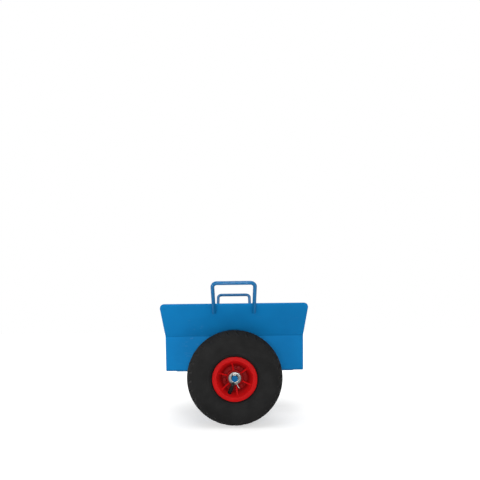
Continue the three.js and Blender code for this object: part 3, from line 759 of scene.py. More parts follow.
def add_piece(name, mesh, body, slot, nodes):
    """An object for a mesh that is already in place. It rides on a body and stands for CAD nodes."""
    mesh.name = name
    mesh.materials.clear()
    mesh.materials.append(finish_for(slot))
    piece = bpy.data.objects.new(name, mesh)
    bpy.context.scene.collection.objects.link(piece)
    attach(piece, body)
    if nodes:
        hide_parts(*nodes)
    return piece


def add_to_halves(name, mesh, body, slot, nodes):
    """The rear half's piece and the front half's, which is the same piece turned round."""
    for half, turn in HALF_TURNS.items():
        copy = moved(mesh.copy(), turn)
        names = [f"{half}_{node_name}" for node_name in nodes]
        add_piece(f"{half}_{name}", copy, f"{half}_{body}", slot, names)


class Flare:
    """The frame of the rear flare's outer face, and the bends of the rear jaw plate."""

    def __init__(self):
        s = sizes()
        low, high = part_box("rear_jaw_plate")
        self.run = Vector((math.sin(s.flare_angle), math.cos(s.flare_angle)))
        self.facing = Vector((self.run.y, -self.run.x))
        self.top = Vector((high.y, high.z - s.plate_thickness * self.run.x))
        self.inner_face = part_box("rear_clamp_pad")[1].y + s.joint_gap
        outer_face = self.inner_face + s.plate_thickness
        bend_y = outer_face + s.bend_radius
        self.length = (self.top.x - bend_y + s.bend_radius * self.run.y) / self.run.x
        bend_z = self.top.y - self.length * self.run.y - s.bend_radius * self.run.x
        self.bend = Vector((bend_y, bend_z))
        self.foot_bend = Vector(
            (self.inner_face - s.bend_radius, low.z + s.plate_thickness + s.bend_radius)
        )

    def point(self, x, along, lift):
        """A point by its place along X, up the flare from its top edge, and out from its face."""
        flat = self.top + self.run * along + self.facing * lift
        return Vector((x, flat.x, flat.y))


def jaw_plate():
    """One bent sheet: foot, upright and flare, from the foot's inner edge to the flare's top."""
    s = sizes()
    flare = Flare()
    low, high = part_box("rear_jaw_plate")
    half_length = high.x
    inside, outside = s.bend_radius, s.bend_radius + s.plate_thickness
    bend_steps, corner_steps = 12, 10
    rows = [(Vector((low.y, low.z)), Vector((low.y, low.z + s.plate_thickness)), half_length, 0.0)]
    for k in range(bend_steps + 1):
        turn = math.pi / 2 * (k / bend_steps - 1)
        ray = Vector((math.cos(turn), math.sin(turn)))
        rows.append((flare.foot_bend + ray * outside, flare.foot_bend + ray * inside, half_length, 0.0))
    for k in range(bend_steps + 1):
        turn = math.pi - s.flare_angle * k / bend_steps
        ray = Vector((math.cos(turn), math.sin(turn)))
        # Painted shade in the crease of the bend, strongest at its middle.
        crease = math.sin(math.pi * k / bend_steps)
        rows.append((flare.bend + ray * inside, flare.bend + ray * outside, half_length, crease))
    for k in range(corner_steps + 1):
        turn = math.pi / 2 * k / corner_steps
        outer = flare.top + flare.run * s.corner_radius * (math.sin(turn) - 1)
        inset = s.corner_radius * (1 - math.cos(turn))
        rows.append((outer, outer - flare.facing * s.plate_thickness, half_length - inset, 0.0))
    bm = bmesh.new()
    crease_shade_layer = bm.verts.layers.float.new("crease")
    rings = []
    for outer, inner, reach, crease in rows:
        corners = [(-reach, *outer), (reach, *outer), (reach, *inner), (-reach, *inner)]
        ring = [bm.verts.new(corner) for corner in corners]
        ring[0][crease_shade_layer] = ring[1][crease_shade_layer] = crease
        rings.append(ring)
    for a, b in zip(rings, rings[1:]):
        for k in range(4):
            bm.faces.new((a[k], a[(k + 1) % 4], b[(k + 1) % 4], b[k]))
    bm.faces.new(rings[0])
    bm.faces.new(rings[-1])
    return shaded(edge_rounded(mesh_from("jaw_plate", bm), s.plate_edge, 3, 50))


class CART_OT_jaw_plates(bpy.types.Operator):
    """Adds the two bent jaw plates"""

    bl_idname = "cart.jaw_plates"
    bl_label = "Jaw Plates"

    def execute(self, context):
        add_to_halves("jaw_sheet", jaw_plate(), "jaw", "blue_paint", ["jaw_plate"])
        return {"FINISHED"}


def handle_places():
    """Half the handle's width, and where its legs start and its grip lies, up the flare."""
    s = sizes()
    flare = Flare()
    low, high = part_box("rear_handle")
    radius = s.bar_diameter / 2
    lift = radius + s.joint_gap
    level = flare.point(0, 0, lift).z
    foot = (low.z + radius * flare.run.x - level) / flare.run.y
    grip = (high.z - radius - level) / flare.run.y
    return high.x - radius, foot, grip, lift


class CART_OT_handles(bpy.types.Operator):
    """Adds the two bent handle bars"""

    bl_idname = "cart.handles"
    bl_label = "Handles"

    def execute(self, context):
        s = sizes()
        flare = Flare()
        side, foot, grip, lift = handle_places()
        end_round = 0.0008
        corners = [
            (flare.point(-side, foot, lift), 0),
            (flare.point(-side, grip, lift), s.bar_bend),
            (flare.point(side, grip, lift), s.bar_bend),
            (flare.point(side, foot, lift), 0),
        ]
        path = rounded(corners, 14, closed=False)
        near_ends = (flare.point(x, foot + end_round, lift) for x in (-side, side))
        path.insert(1, next(near_ends))
        path.insert(-1, next(near_ends))
        radius = s.bar_diameter / 2
        mesh = grown(
            path_mesh("handle", [path]),
            bar_tree,
            Radius=radius,
            End_Radius=radius - end_round,
            Sides=28,
            Material=finish_for("blue_paint"),
        )
        # The handle bars are marked to be glossier, and painted darker as painted shade.
        add_to_halves("handle_bar", marked(shaded(mesh), "gloss"), "jaw", "blue_paint", ["handle"])
        return {"FINISHED"}


class CART_OT_weld_beads(bpy.types.Operator):
    """Adds the weld beads of handles, axles, knuckles and collars"""

    bl_idname = "cart.weld_beads"
    bl_label = "Weld Beads"

    def execute(self, context):
        s = sizes()
        flare = Flare()
        side, foot, _, _ = handle_places()
        radius = s.weld_width / 2
        paths = []
        for leg in (-side, side):
            for x in (leg - s.bar_diameter * 0.36, leg + s.bar_diameter * 0.36):
                paths.append([flare.point(x, at, radius * 0.35) for at in (foot + radius, -radius)])
        axle_low, axle_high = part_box("rear_axle")
        under_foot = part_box("rear_jaw_plate")[0].z
        axle_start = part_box("rear_jaw_plate")[0].y + radius
        axle_stop = flare.inner_face - s.bend_radius
        for x in (-axle_high.x * 0.36, axle_high.x * 0.36):
            paths.append([Vector((x, y, under_foot - radius * 0.35)) for y in (axle_start, axle_stop)])
        for index in (1, 2, 3):
            low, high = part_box(f"rear_hinge_knuckle_{index}")
            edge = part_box("rear_jaw_plate")[0].y
            ends = (low.x + radius, high.x - radius)
            paths.append([Vector((x, edge - radius * 0.2, (low.z + high.z) / 2)) for x in ends])
        straight = grown(
            path_mesh("welds", paths),
            weld_tree,
            Radius=radius,
            Pitch=s.weld_pitch,
            Ripple=0.13,
            Material=finish_for("blue_paint"),
        )
        collar_low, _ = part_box("rear_axle_collar")
        centre = middle("rear_axle_collar")
        steps = 40
        reach = axle_high.x + radius * 0.3
        ring = []
        for k in range(steps):
            turn = 2 * math.pi * k / steps
            offset = Vector((math.sin(turn) * reach, 0, math.cos(turn) * reach))
            ring.append(Vector((centre.x, collar_low.y, centre.z)) + offset)
        round_bead = grown(
            path_mesh("collar_weld", [ring], closed=True),
            weld_tree,
            Radius=radius,
            Pitch=s.weld_pitch,
            Ripple=0.13,
            Material=finish_for("blue_paint"),
        )
        mesh = joined("weld_beads", [straight, round_bead])
        add_to_halves("weld_beads", shaded(mesh, 60), "jaw", "blue_paint", [])
        return {"FINISHED"}


def clamp_pad():
    """A rubber lining, grooved along the board on the side that grips it."""
    s = sizes()
    low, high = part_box("rear_clamp_pad")
    pitch = (high.z - low.z) / (s.pad_grooves + 1)
    section = [(low.y, low.z), (high.y, low.z), (high.y, high.z), (low.y, high.z)]
    for k in range(s.pad_grooves, 0, -1):
        centre = low.z + k * pitch
        floor = low.y + s.pad_groove_depth
        section.append((low.y, centre + s.pad_groove_width / 2))
        section.append((floor, centre + s.pad_groove_floor / 2))
        section.append((floor, centre - s.pad_groove_floor / 2))
        section.append((low.y, centre - s.pad_groove_width / 2))
    return edge_rounded(along_x("clamp_pad", section, high.x), s.pad_edge)


def foot_pad():
    """A rubber strip with a rounded crown, on the foot."""
    low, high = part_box("rear_foot_pad")
    edge = 0.0018
    corners = [
        (Vector((low.y, low.z)), 0.0003),
        (Vector((high.y, low.z)), 0.0003),
        (Vector((high.y, high.z)), edge),
        (Vector((low.y, high.z)), edge),
    ]
    section = [tuple(point) for point in rounded(corners)]
    return edge_rounded(along_x("foot_pad", section, high.x), sizes().pad_edge, 2, 60)


class CART_OT_pads(bpy.types.Operator):
    """Adds the rubber clamp pads and foot pads"""

    bl_idname = "cart.pads"
    bl_label = "Rubber Pads"

    def execute(self, context):
        add_to_halves("clamp_lining", shaded(clamp_pad()), "jaw", "pad_rubber", ["clamp_pad"])
        add_to_halves("foot_lining", shaded(foot_pad()), "jaw", "pad_rubber", ["foot_pad"])
        return {"FINISHED"}


class CART_OT_hinge(bpy.types.Operator):
    """Adds the hinge knuckles, and the rod with its washers and caps"""

    bl_idname = "cart.hinge"
    bl_label = "Hinge"

    def execute(self, context):
        s = sizes()
        to_x = Matrix.Rotation(-math.pi / 2, 4, "Z")
        rod_size = extent("hinge_rod")
        rod_radius = rod_size.z / 2
        knuckle_names = [f"hinge_knuckle_{index}" for index in (1, 2, 3)]
        knuckle_size = extent("rear_hinge_knuckle_1")
        hinge_line = Matrix.Translation(middle("hinge_rod"))
        half = knuckle_size.x / 2
        bore = rod_radius + s.turning_gap
        knuckle = moved(round_ring("knuckle", bore, knuckle_size.z / 2, -half, half, 0.0006, 40), to_x)
        shape = scratch(knuckle)
        spots = bpy.data.meshes.new("knuckle_places")
        height = middle("hinge_rod").z
        places = [(middle(f"rear_{name}").x, 0, height) for name in knuckle_names]
        spots.from_pydata(places, [], [])
        row = grown(spots, copies_tree, Shape=shape, Material=finish_for("blue_paint"))
        bpy.data.objects.remove(shape)
        add_to_halves("hinge_knuckles", shaded(row), "jaw", "blue_paint", knuckle_names)

        end = rod_size.x / 2
        chamfer = 0.001
        corners = [(0, -end), (rod_radius - chamfer, -end), (rod_radius, chamfer - end)]
        corners += [(radius, -place) for radius, place in reversed(corners)]
        rod = moved(turned("rod", corners, 40, closed=False), hinge_line @ to_x)
        add_piece("hinge_pin_rod", shaded(rod), "front_jaw", "zinc_steel", ["hinge_rod"])
        for name in ("left", "right"):
            self.add_end(name, rod_radius, hinge_line @ to_x)
        return {"FINISHED"}

    def add_end(self, name, rod_radius, place):
        """The washer and the push-on cap at one end of the rod."""
        s = sizes()
        side = 1 if name == "right" else -1
        washer_low, washer_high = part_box(f"hinge_washer_{name}")
        near, far = sorted((abs(washer_low.x), abs(washer_high.x)))
        ring = round_ring(
            "washer", rod_radius + s.turning_gap, washer_high.y, side * near, side * far, 0.0004
        )
        node_name = f"hinge_washer_{name}"
        add_piece(f"hinge_rod_washer_{name}", shaded(moved(ring, place)), "front_jaw", "zinc_steel", [node_name])
        cap_low, cap_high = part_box(f"hinge_cap_{name}")
        near, far = sorted((abs(cap_low.x), abs(cap_high.x)))
        wall = 0.0012
        bore = rod_radius + s.joint_gap
        corners = [
            (0, far - wall, 0), (bore, far - wall, 0.0006), (bore, near, 0.0003),
            (cap_high.y, near, 0.0004), (cap_high.y, near + wall, 0.0004),
            (bore + wall, near + wall, 0.0008), (bore + wall, far, 0.002), (0, far, 0),
        ]
        outline = rounded([(Vector((r, side * y)), edge) for r, y, edge in corners], 4, closed=False)
        cap = moved(turned("cap", outline, 40, closed=False), place)
        add_piece(f"hinge_rod_cap_{name}", shaded(cap), "front_jaw", "zinc_steel", [f"hinge_cap_{name}"])


class CART_OT_axles(bpy.types.Operator):
    """Adds the axles with their collars and washers"""

    bl_idname = "cart.axles"
    bl_label = "Axles"

    def execute(self, context):
        s = sizes()
        low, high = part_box("rear_axle")
        line = Matrix.Translation((0, 0, middle("rear_axle").z))
        root, spindle, chamfer = high.x, s.spindle / 2, s.axle_chamfer
        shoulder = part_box("rear_axle_collar")[1].y
        ease = 0.0004
        corners = [
            (0, low.y, 0), (root - chamfer, low.y, ease), (root, low.y + chamfer, ease),
            (root, shoulder, ease), (spindle, shoulder, ease), (spindle, high.y - chamfer, ease),
            (spindle - chamfer, high.y, ease), (0, high.y, 0),
        ]
        outline = rounded([(Vector((r, y)), edge) for r, y, edge in corners], 3, closed=False)
        bar = moved(turned("axle", outline, 64, closed=False), line)
        pin_hole = s.pin_wire + s.joint_gap + s.turning_gap / 2
        drill = [(0, -root), (pin_hole, -root), (pin_hole, root), (0, root)]
        cutter = moved(turned("pin_hole", drill, 24, closed=False), Matrix.Rotation(math.pi / 2, 4, "X"))
        pin_place = middle("rear_axle_split_pin")
        moved(cutter, Matrix.Translation((0, pin_place.y, line.translation.z)))
        bar = shaded(combined(bar, cuts=[cutter]))
        # The axle's outer end face is painted a darker blue.
        marked(bar, "worn", lambda point: point.y > high.y - chamfer / 2)
        add_to_halves("axle_bar", bar, "jaw", "blue_paint", ["axle"])
        rings = [
            ("axle_collar", "axle_stop_collar", root + s.joint_gap, 0.001, "blue_paint"),
            ("inner_washer", "inner_axle_washer", spindle + s.turning_gap, 0.0005, "zinc_steel"),
            ("outer_washer", "outer_axle_washer", spindle + s.turning_gap, 0.0005, "zinc_steel"),
        ]
        for node_name, name, bore, edge, slot in rings:
            ring_low, ring_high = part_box(f"rear_{node_name}")
            ring = round_ring(name, bore, ring_high.x, ring_low.y, ring_high.y, edge, 72)
            # Painted reflection: the washers are painted darker; the blue collar takes no such tint.
            dull = marked(shaded(moved(ring, line)), "dull")
            add_to_halves(name, dull, "jaw", slot, [node_name])
        return {"FINISHED"}


class CART_OT_split_pins(bpy.types.Operator):
    """Adds the split pins that hold the wheels on"""

    bl_idname = "cart.split_pins"
    bl_label = "Split Pins"

    def execute(self, context):
        s = sizes()
        low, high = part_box("rear_axle_split_pin")
        centre = Vector((0, middle("rear_axle_split_pin").y, middle("rear_axle").z))
        wire = s.pin_wire / 2
        half = wire + s.joint_gap
        edge = s.spindle / 2 + s.pin_shoulder
        eye = s.pin_eye / 2
        eye_start = edge + (eye - half) / math.tan(s.pin_spread)
        top = high.z - centre.z - wire
        across, down = math.sin(s.pin_spread), math.cos(s.pin_spread)
        leg = (centre.z - low.z - edge - wire * across) / down
        wires = []
        for side in (1, -1):
            wires.append([
                (side * (half + leg * across), -edge - leg * down, 0),
                (side * half, -edge, s.pin_bend),
                (side * half, edge, s.pin_bend),
                (side * eye, eye_start, s.pin_bend),
                (side * eye, top, s.pin_bend),
            ])
        points = wires[0] + wires[1][::-1]
        corners = [(centre + Vector((x, 0, z)), radius) for x, z, radius in points]
        path = rounded(corners, 8, closed=False)
        mesh = grown(
            path_mesh("split_pin", [path]),
            bar_tree,
            Radius=wire,
            End_Radius=wire * 0.8,
            Sides=14,
            Material=finish_for("zinc_steel"),
        )
        # Painted shade: the leg on +X below the axle is painted near black.
        marked(mesh, "oily", lambda point: point.x > 0 and point.z < centre.z - s.spindle / 2)
        add_to_halves("split_pin", shaded(mesh), "jaw", "zinc_steel", ["axle_split_pin"])
        return {"FINISHED"}


class TyreSection:
    """The tyre's section as rows of (radius, place, groove depth) round the rear wheel's middle."""

    def __init__(self):
        s = sizes()
        box = extent("rear_tyre")
        self.radius = box.z / 2
        self.half_width = box.y / 2
        self.flange = extent("rear_rim_outer_half").z / 2
        self.widest = (self.flange + self.radius) / 2 - s.section_drop
        self.height = self.radius - self.widest

    def on_oval(self, turn, height, half_width):
        """A point of a squared oval, at an angle from the tread's middle."""
        power = 2 / sizes().squareness
        rise = math.copysign(abs(math.cos(turn)) ** power, math.cos(turn))
        reach = math.copysign(abs(math.sin(turn)) ** power, math.sin(turn))
        return Vector((self.widest + height * rise, half_width * reach))

    def turn_at(self, place, half_width):
        """The angle at which the upper half of an oval has this place across."""
        return math.asin((place / half_width) ** (sizes().squareness / 2))

    def lowest_turn(self, radius, height):
        """The angle at which the lower half of an oval comes down to a radius."""
        drop = (self.widest - radius) / height
        return math.acos(-(drop ** (sizes().squareness / 2)))

    def outside(self):
        """Half of the outer face, from the tread's middle down to the rim."""
        s = sizes()
        inset, wall = s.groove_inset, s.groove_wall
        shares = [0.0, 0.35, 0.7]
        places = [inset * part for part in shares] + [inset, inset + wall]
        last = self.half_width * 0.985
        steps = 16
        places += [inset + wall + (last - inset - wall) * k / steps for k in range(1, steps + 1)]
        turns = [self.turn_at(place, self.half_width) for place in places]
        end = self.lowest_turn(self.flange + s.sidewall_start, self.height)
        lower_steps = 22
        turns += [turns[-1] + (end - turns[-1]) * k / lower_steps for k in range(1, lower_steps + 1)]
        return [self.on_oval(turn, self.height, self.half_width) for turn in turns]

    def groove_floor(self, place):
        """The radius of a groove's floor at a place across the tread."""
        s = sizes()
        return self.radius - s.groove_depth - (place - s.groove_inset) * math.tan(s.groove_slope)

    def relief(self, radius):
        """How far the side stands out in its moulded rings, at a radius."""
        rings = [(self.flange + 0.0085, 0.0032, 0.0011), (0.1085, 0.0012, 0.0005), (0.1045, 0.0012, 0.0005)]
        total = 0
        for middle_radius, half_width, height in rings:
            off = abs(radius - middle_radius) / half_width
            if off < 1:
                total += height * math.cos(off * math.pi / 2) ** 2
        return total

    def rows(self):
        """The whole closed section, each row as (radius, place, groove depth)."""
        s = sizes()
        half = []
        for point in self.outside():
            depth = 0
            if point.y > s.groove_inset + s.groove_wall / 2 and point.x > self.widest:
                depth = max(0, point.x - self.groove_floor(point.y))
            stand = self.relief(point.x) if point.y > s.groove_inset else 0
            half.append((point.x, point.y + stand, depth))
        seat = self.flange - s.flange_height + s.seat_gap
        bead = s.rim_width / 2 - s.flange_thickness - s.joint_gap
        inner_height = self.height - s.crown
        inner_width = self.half_width - s.sidewall
        inner_end = self.lowest_turn(seat + s.bead_height, inner_height)
        steps = 10
        inner = [self.on_oval(inner_end * k / steps, inner_height, inner_width) for k in range(steps + 1)]
        under = [(self.flange + s.seat_gap, bead, 0), (seat, bead, 0), (seat, bead - s.bead_width, 0)]
        under += [(point.x, point.y, 0) for point in reversed(inner)]
        one_side = half + under
        other_side = [(radius, -place, depth) for radius, place, depth in one_side[-2:0:-1]]
        return one_side + other_side


def tread_pitch():
    """One pitch of the tyre: a lug and a groove on each shoulder, with the section all round."""
    s = sizes()
    section = TyreSection()
    pitch = 2 * math.pi / s.lugs
    reach = pitch * section.radius
    edge = s.groove_width / 2 / reach
    wall = s.groove_wall / reach
    half_columns = [0, edge / 2, edge - wall, edge, 0.5 - edge, 0.5 - edge + wall, 0.5 - edge / 2]
    block = [edge + (0.5 - 2 * edge) * part for part in (0.33, 0.67)]
    half_columns = sorted(half_columns + block)
    columns = half_columns + [0.5 + place for place in half_columns] + [1]
    lean = math.tan(s.groove_angle) / section.radius
    lean_end = section.half_width * 0.9
    bm = bmesh.new()
    groove_layer = bm.verts.layers.float.new("groove")
    grid = []
    for radius, place, depth in section.rows():
        shift = -lean * max(0, min(abs(place), lean_end) - s.groove_inset)
        phase = 0 if place > 0 else 0.5
        line = []
        for column in columns:
            away = abs((column - phase + 0.5) % 1 - 0.5)
            inside = min(1, max(0, (edge - away) / wall))
            turn = pitch * column + shift
            sunk = radius - depth * inside
            vert = bm.verts.new((sunk * math.sin(turn), place, sunk * math.cos(turn)))
            vert[groove_layer] = min(1, depth * inside / s.groove_depth)
            line.append(vert)
        grid.append(line)
    for a, b in zip(grid, grid[1:] + grid[:1]):
        for k in range(len(columns) - 1):
            bm.faces.new((a[k], b[k], b[k + 1], a[k + 1]))
    mesh = bpy.data.meshes.new("tread_pitch")
    bm.to_mesh(mesh)
    bm.free()
    return mesh


class CART_OT_tyres(bpy.types.Operator):
    """Adds the two tyres with their lugged tread"""

    bl_idname = "cart.tyres"
    bl_label = "Tyres"

    def execute(self, context):
        centre = middle("rear_tyre")
        mesh = grown(
            moved(tread_pitch(), Matrix.Translation(centre)),
            repeat_round_tree,
            Count=sizes().lugs,
            Centre=centre,
            Material=finish_for("tyre_rubber"),
        )
        add_to_halves("tyre_cover", shaded(mesh, 30), "wheel", "tyre_rubber", ["tyre"])
        return {"FINISHED"}


def seen_angle(turn):
    """Turns a shape that lies along +X to an angle seen from outside the rear wheel, from level."""
    return Matrix.Rotation(math.pi + turn, 4, "Y")


def hub_root():
    return sizes().hub_diameter / 2 + sizes().hub_draft


def hub_end(side):
    """How far the hub of one half of the rim reaches from the middle of the wheel."""
    low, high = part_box("rear_bearing_sleeve")
    centre = middle("rear_tyre")
    return sizes().end_play + (high.y - centre.y if side > 0 else centre.y - low.y)


def bolt_circle():
    return (hub_root() + sizes().pocket_floor / 2) / 2


def first_bolt():
    return sizes().valve_angle + 2 * math.pi / sizes().ribs


def valve_line():
    """The direction of the valve: towards the hub and outwards."""
    s = sizes()
    away = Vector((-math.cos(s.valve_angle), 0, math.sin(s.valve_angle)))
    return -away * math.cos(s.valve_lean) + Vector((0, math.sin(s.valve_lean), 0))


def rim_dish(side):
    """The turned body of one half of the rim. Side is 1 for the outer half and -1 for the inner one."""
    s = sizes()
    low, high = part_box("rear_rim_outer_half")
    centre = middle("rear_tyre")
    face = s.rim_width / 2
    split = low.y - centre.y
    hub = hub_end(side)
    flange = (high.z - low.z) / 2
    seat = flange - s.flange_height
    seat_end = face - s.flange_thickness - s.seat_width
    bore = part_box("rear_bearing_sleeve")[1].x + s.turning_gap
    # A ring near the top of the pocket wall, where the face's painted shade ends.
    lip = Vector((s.pocket_floor / 2, s.web)).lerp(Vector((seat - s.rim_wall, face)), 0.85)
    corners = [
        (bore, split, 0), (bore, hub, 0.0008), (s.hub_diameter / 2, hub, 0.0012),
        (hub_root(), s.web, 0.002), (s.pocket_floor / 2, s.web, 0.003), (*lip, 0),
        (seat - s.rim_wall, face, 0.0016), (flange, face, 0.0018),
        (flange, face - s.flange_thickness, 0.0008), (seat, face - s.flange_thickness, 0.0006),
        (seat, seat_end, 0.0008), (seat - s.well_depth, seat_end - s.well_depth, 0.0008),
        (seat - s.well_depth, split, 0.0003),
    ]
    outline = rounded([(Vector((r, side * y)), edge) for r, y, edge in corners], 5)
    return turned("rim_dish", outline, 96)


def rim_ribs(side):
    """All the ribs of one half of the rim, round the origin."""
    s = sizes()
    low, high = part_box("rear_rim_outer_half")
    sink = 0.001
    hub = s.hub_diameter / 2
    hub_top = hub_end(side) - s.rib_drop
    rim = (high.z - low.z) / 2 - s.flange_height - s.rim_wall
    root = s.web - sink
    outline = [
        (hub - sink, root, s.rib_root), (hub - sink, hub_top, s.rib_thickness), (hub, hub_top, s.rib_thickness),
        (rim + sink, s.rim_width / 2 - s.rib_drop, s.rib_thickness),
        (s.pocket_floor / 2 + sink, root, s.rib_root),
    ]
    bm = bmesh.new()
    faces = []
    for hand in (1, -1):
        verts = [bm.verts.new((r, side * y, hand * width / 2)) for r, y, width in outline]
        faces.append(verts)
        bm.faces.new(verts)
    for k in range(len(outline)):
        n = (k + 1) % len(outline)
        bm.faces.new((faces[0][k], faces[0][n], faces[1][n], faces[1][k]))
    rib = edge_rounded(mesh_from("rib", bm), 0.0005, 2, 60)
    return grown(
        moved(rib, seen_angle(s.rib_angle)),
        repeat_round_tree,
        Count=s.ribs,
        Centre=(0, 0, 0),
        Material=finish_for("red_plastic"),
    )


def bolt_bosses():
    """The bosses on the outer half's web that take the rim bolts, round the origin."""
    s = sizes()
    radius = s.boss_diameter / 2
    top = s.web + s.boss_height
    corners = [(0, s.web / 2, 0), (radius * 1.12, s.web / 2, 0), (radius, top, s.boss_edge), (0, top, 0)]
    outline = rounded([(Vector((r, y)), edge) for r, y, edge in corners], 4, closed=False)
    boss = moved(turned("boss", outline, 28, closed=False), Matrix.Translation((bolt_circle(), 0, 0)))
    return grown(
        moved(boss, seen_angle(first_bolt())),
        repeat_round_tree,
        Count=s.rim_bolts,
        Centre=(0, 0, 0),
        Material=finish_for("red_plastic"),
    )


def in_pocket_floor(point):
    """Whether a point of a rim about the origin lies low in a pocket, on a boss or on the hub's end. These points get
    painted shade, a near black-red.
    """
    s = sizes()
    radius = math.hypot(point.x, point.z)
    boss_top = abs(abs(point.y) - s.web - s.boss_height) < s.boss_edge + s.joint_gap
    turn = (math.atan2(point.z, -point.x) - first_bolt()) % (2 * math.pi / s.rim_bolts)
    off_bolt = min(turn, 2 * math.pi / s.rim_bolts - turn) * radius
    on_boss = boss_top and radius < s.pocket_floor / 2 and off_bolt < s.boss_diameter / 2
    low = abs(point.y) < s.web + s.boss_height / 2 and radius < s.pocket_floor / 2 + s.floor_edge
    return low or on_boss or radius < s.hub_diameter / 2 - s.joint_gap


def on_rim_face(point):
    """Whether a point of a rim about the origin lies on its face, or on top of a rib. These points are painted a
    darker red, as painted shade.
    """
    s = sizes()
    return abs(point.y) > s.rim_width / 2 - s.rib_drop - s.plate_edge


class CART_OT_rims(bpy.types.Operator):
    """Adds both halves of the two ribbed rims"""

    bl_idname = "cart.rims"
    bl_label = "Rims"

    def execute(self, context):
        s = sizes()
        centre = middle("rear_tyre")
        place = Matrix.Translation(centre)
        turn = Vector((0, 1, 0)).rotation_difference(valve_line()).to_matrix().to_4x4()
        hole_radius = s.valve_foot / 2 + 0.0005
        reach = s.valve_length
        drill = [(0, -reach), (hole_radius, -reach), (hole_radius, reach / 2), (0, reach / 2)]
        valve_cap = middle("rear_valve_cap") - centre
        hole = turned("valve_hole", drill, 28, closed=False)
        moved(hole, Matrix.Translation(valve_cap - valve_line() * reach * 0.7) @ turn)
        outer = combined(rim_dish(1), [rim_ribs(1), bolt_bosses()], [hole])
        # Painted shade in the pockets, on the bosses and on the hub's end.
        marked(outer, "deep", in_pocket_floor)
        # Painted shade on the rim's face and the rib tops.
        marked(outer, "face", on_rim_face)
        inner = combined(rim_dish(-1), [rim_ribs(-1)])
        add_to_halves("outer_rim", shaded(moved(outer, place), 32), "wheel", "red_plastic", ["rim_outer_half"])
        add_to_halves("inner_rim", shaded(moved(inner, place), 32), "wheel", "red_plastic", ["rim_inner_half"])
        return {"FINISHED"}


class CART_OT_rim_bolts(bpy.types.Operator):
    """Adds the bolts that hold the halves of the rims together"""

    bl_idname = "cart.rim_bolts"
    bl_label = "Rim Bolts"

    def execute(self, context):
        s = sizes()
        low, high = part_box("rear_rim_bolt_1")
        centre = middle("rear_tyre")
        seat = -s.web - s.joint_gap
        back, tip = low.y - centre.y, high.y - centre.y
        head_radius, shank_radius, chamfer = 0.0045, 0.0025, 0.0006
        head = turned(
            "bolt_head",
            [(0, back), (head_radius - chamfer, back), (head_radius, back + chamfer), (head_radius, seat), (0, seat)],
            6,
            closed=False,
        )
        shank = turned(
            "bolt_shank",
            [(0, seat - chamfer), (shank_radius, seat - chamfer), (shank_radius, tip - chamfer),
             (shank_radius - chamfer, tip), (0, tip)],
            20,
            closed=False,
        )
        bolt = moved(combined(head, [shank]), Matrix.Translation((bolt_circle(), 0, 0)))
        mesh = grown(
            moved(bolt, Matrix.Translation(centre) @ seen_angle(first_bolt())),
            repeat_round_tree,
            Count=s.rim_bolts,
            Centre=centre,
            Material=finish_for("zinc_steel"),
        )
        names = [f"rim_bolt_{index}" for index in (1, 2, 3)]
        add_to_halves("rim_bolt_set", shaded(mesh), "wheel", "zinc_steel", names)
        return {"FINISHED"}


def ridged_cap(radius, cap_length, ridges):
    """A valve cap about Y from the origin, with ridges to grip."""
    bm = bmesh.new()
    segments = ridges * 6
    levels = [(0, 0.86), (0.06, 0.98), (0.12, 1), (0.72, 1), (0.86, 0.93), (0.96, 0.76), (1, 0.55)]
    rings = []
    for along, wide in levels:
        depth = 0.00035 if 0.05 < along < 0.8 else 0
        ring = []
        for k in range(segments):
            turn = 2 * math.pi * k / segments
            reach = radius * wide - depth * (0.5 - 0.5 * math.cos(turn * ridges))
            ring.append(bm.verts.new((reach * math.sin(turn), along * cap_length, reach * math.cos(turn))))
        rings.append(ring)
    for a, b in zip(rings, rings[1:]):
        for k in range(segments):
            n = (k + 1) % segments
            bm.faces.new((a[k], a[n], b[n], b[k]))
    bm.faces.new(rings[0])
    bm.faces.new(rings[-1])
    return mesh_from("valve_cap", bm)


class CART_OT_valves(bpy.types.Operator):
    """Adds the tyre valves and their caps"""

    bl_idname = "cart.valves"
    bl_label = "Valves"

    def execute(self, context):
        s = sizes()
        line = valve_line()
        turn = Vector((0, 1, 0)).rotation_difference(line).to_matrix().to_4x4()
        cap_length, cap_radius = 0.009, 0.00475
        start = middle("rear_valve_cap") - line * cap_length / 2
        cap = moved(ridged_cap(cap_radius, cap_length, 14), Matrix.Translation(start) @ turn)
        add_to_halves("valve_dust_cap", shaded(cap), "wheel", "black_plastic", ["valve_cap"])
        foot, tip, end = s.valve_foot / 2, s.valve_tip / 2, -s.joint_gap
        corners = [
            (0, end - s.valve_length, 0), (foot, end - s.valve_length, 0.0006),
            (foot, end - s.valve_taper, 0.004), (tip, end, 0.0004), (0, end, 0),
        ]
        outline = rounded([(Vector((r, y)), edge) for r, y, edge in corners], 5, closed=False)
        stem = moved(turned("valve_stem", outline, 36, closed=False), Matrix.Translation(start) @ turn)
        add_to_halves("valve_rubber_stem", shaded(stem), "wheel", "black_rubber", ["valve_stem"])
        return {"FINISHED"}


class CART_OT_inner_parts(bpy.types.Operator):
    """Gives the frame's own tubes, sleeves and roller cages their finishes"""

    bl_idname = "cart.inner_parts"
    bl_label = "Inner Parts"

    def execute(self, context):
        slots = {"inner_tube": "tube_rubber", "bearing_sleeve": "bearing_steel", "roller_cage": "bearing_steel"}
        for half in HALF_TURNS:
            for name, slot in slots.items():
                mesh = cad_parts[f"{half}_{name}"].data
                mesh.materials.clear()
                mesh.materials.append(finish_for(slot))
        return {"FINISHED"}


# Stage


def shown_ray(tree):
    """1 for the rays that show the background itself: straight, mirrored or through glass."""
    path = node(tree, "ShaderNodeLightPath").outputs
    either = math_node(tree, "MAXIMUM", path["Is Camera Ray"], path["Is Glossy Ray"])
    return math_node(tree, "MAXIMUM", either, path["Is Transmission Ray"])


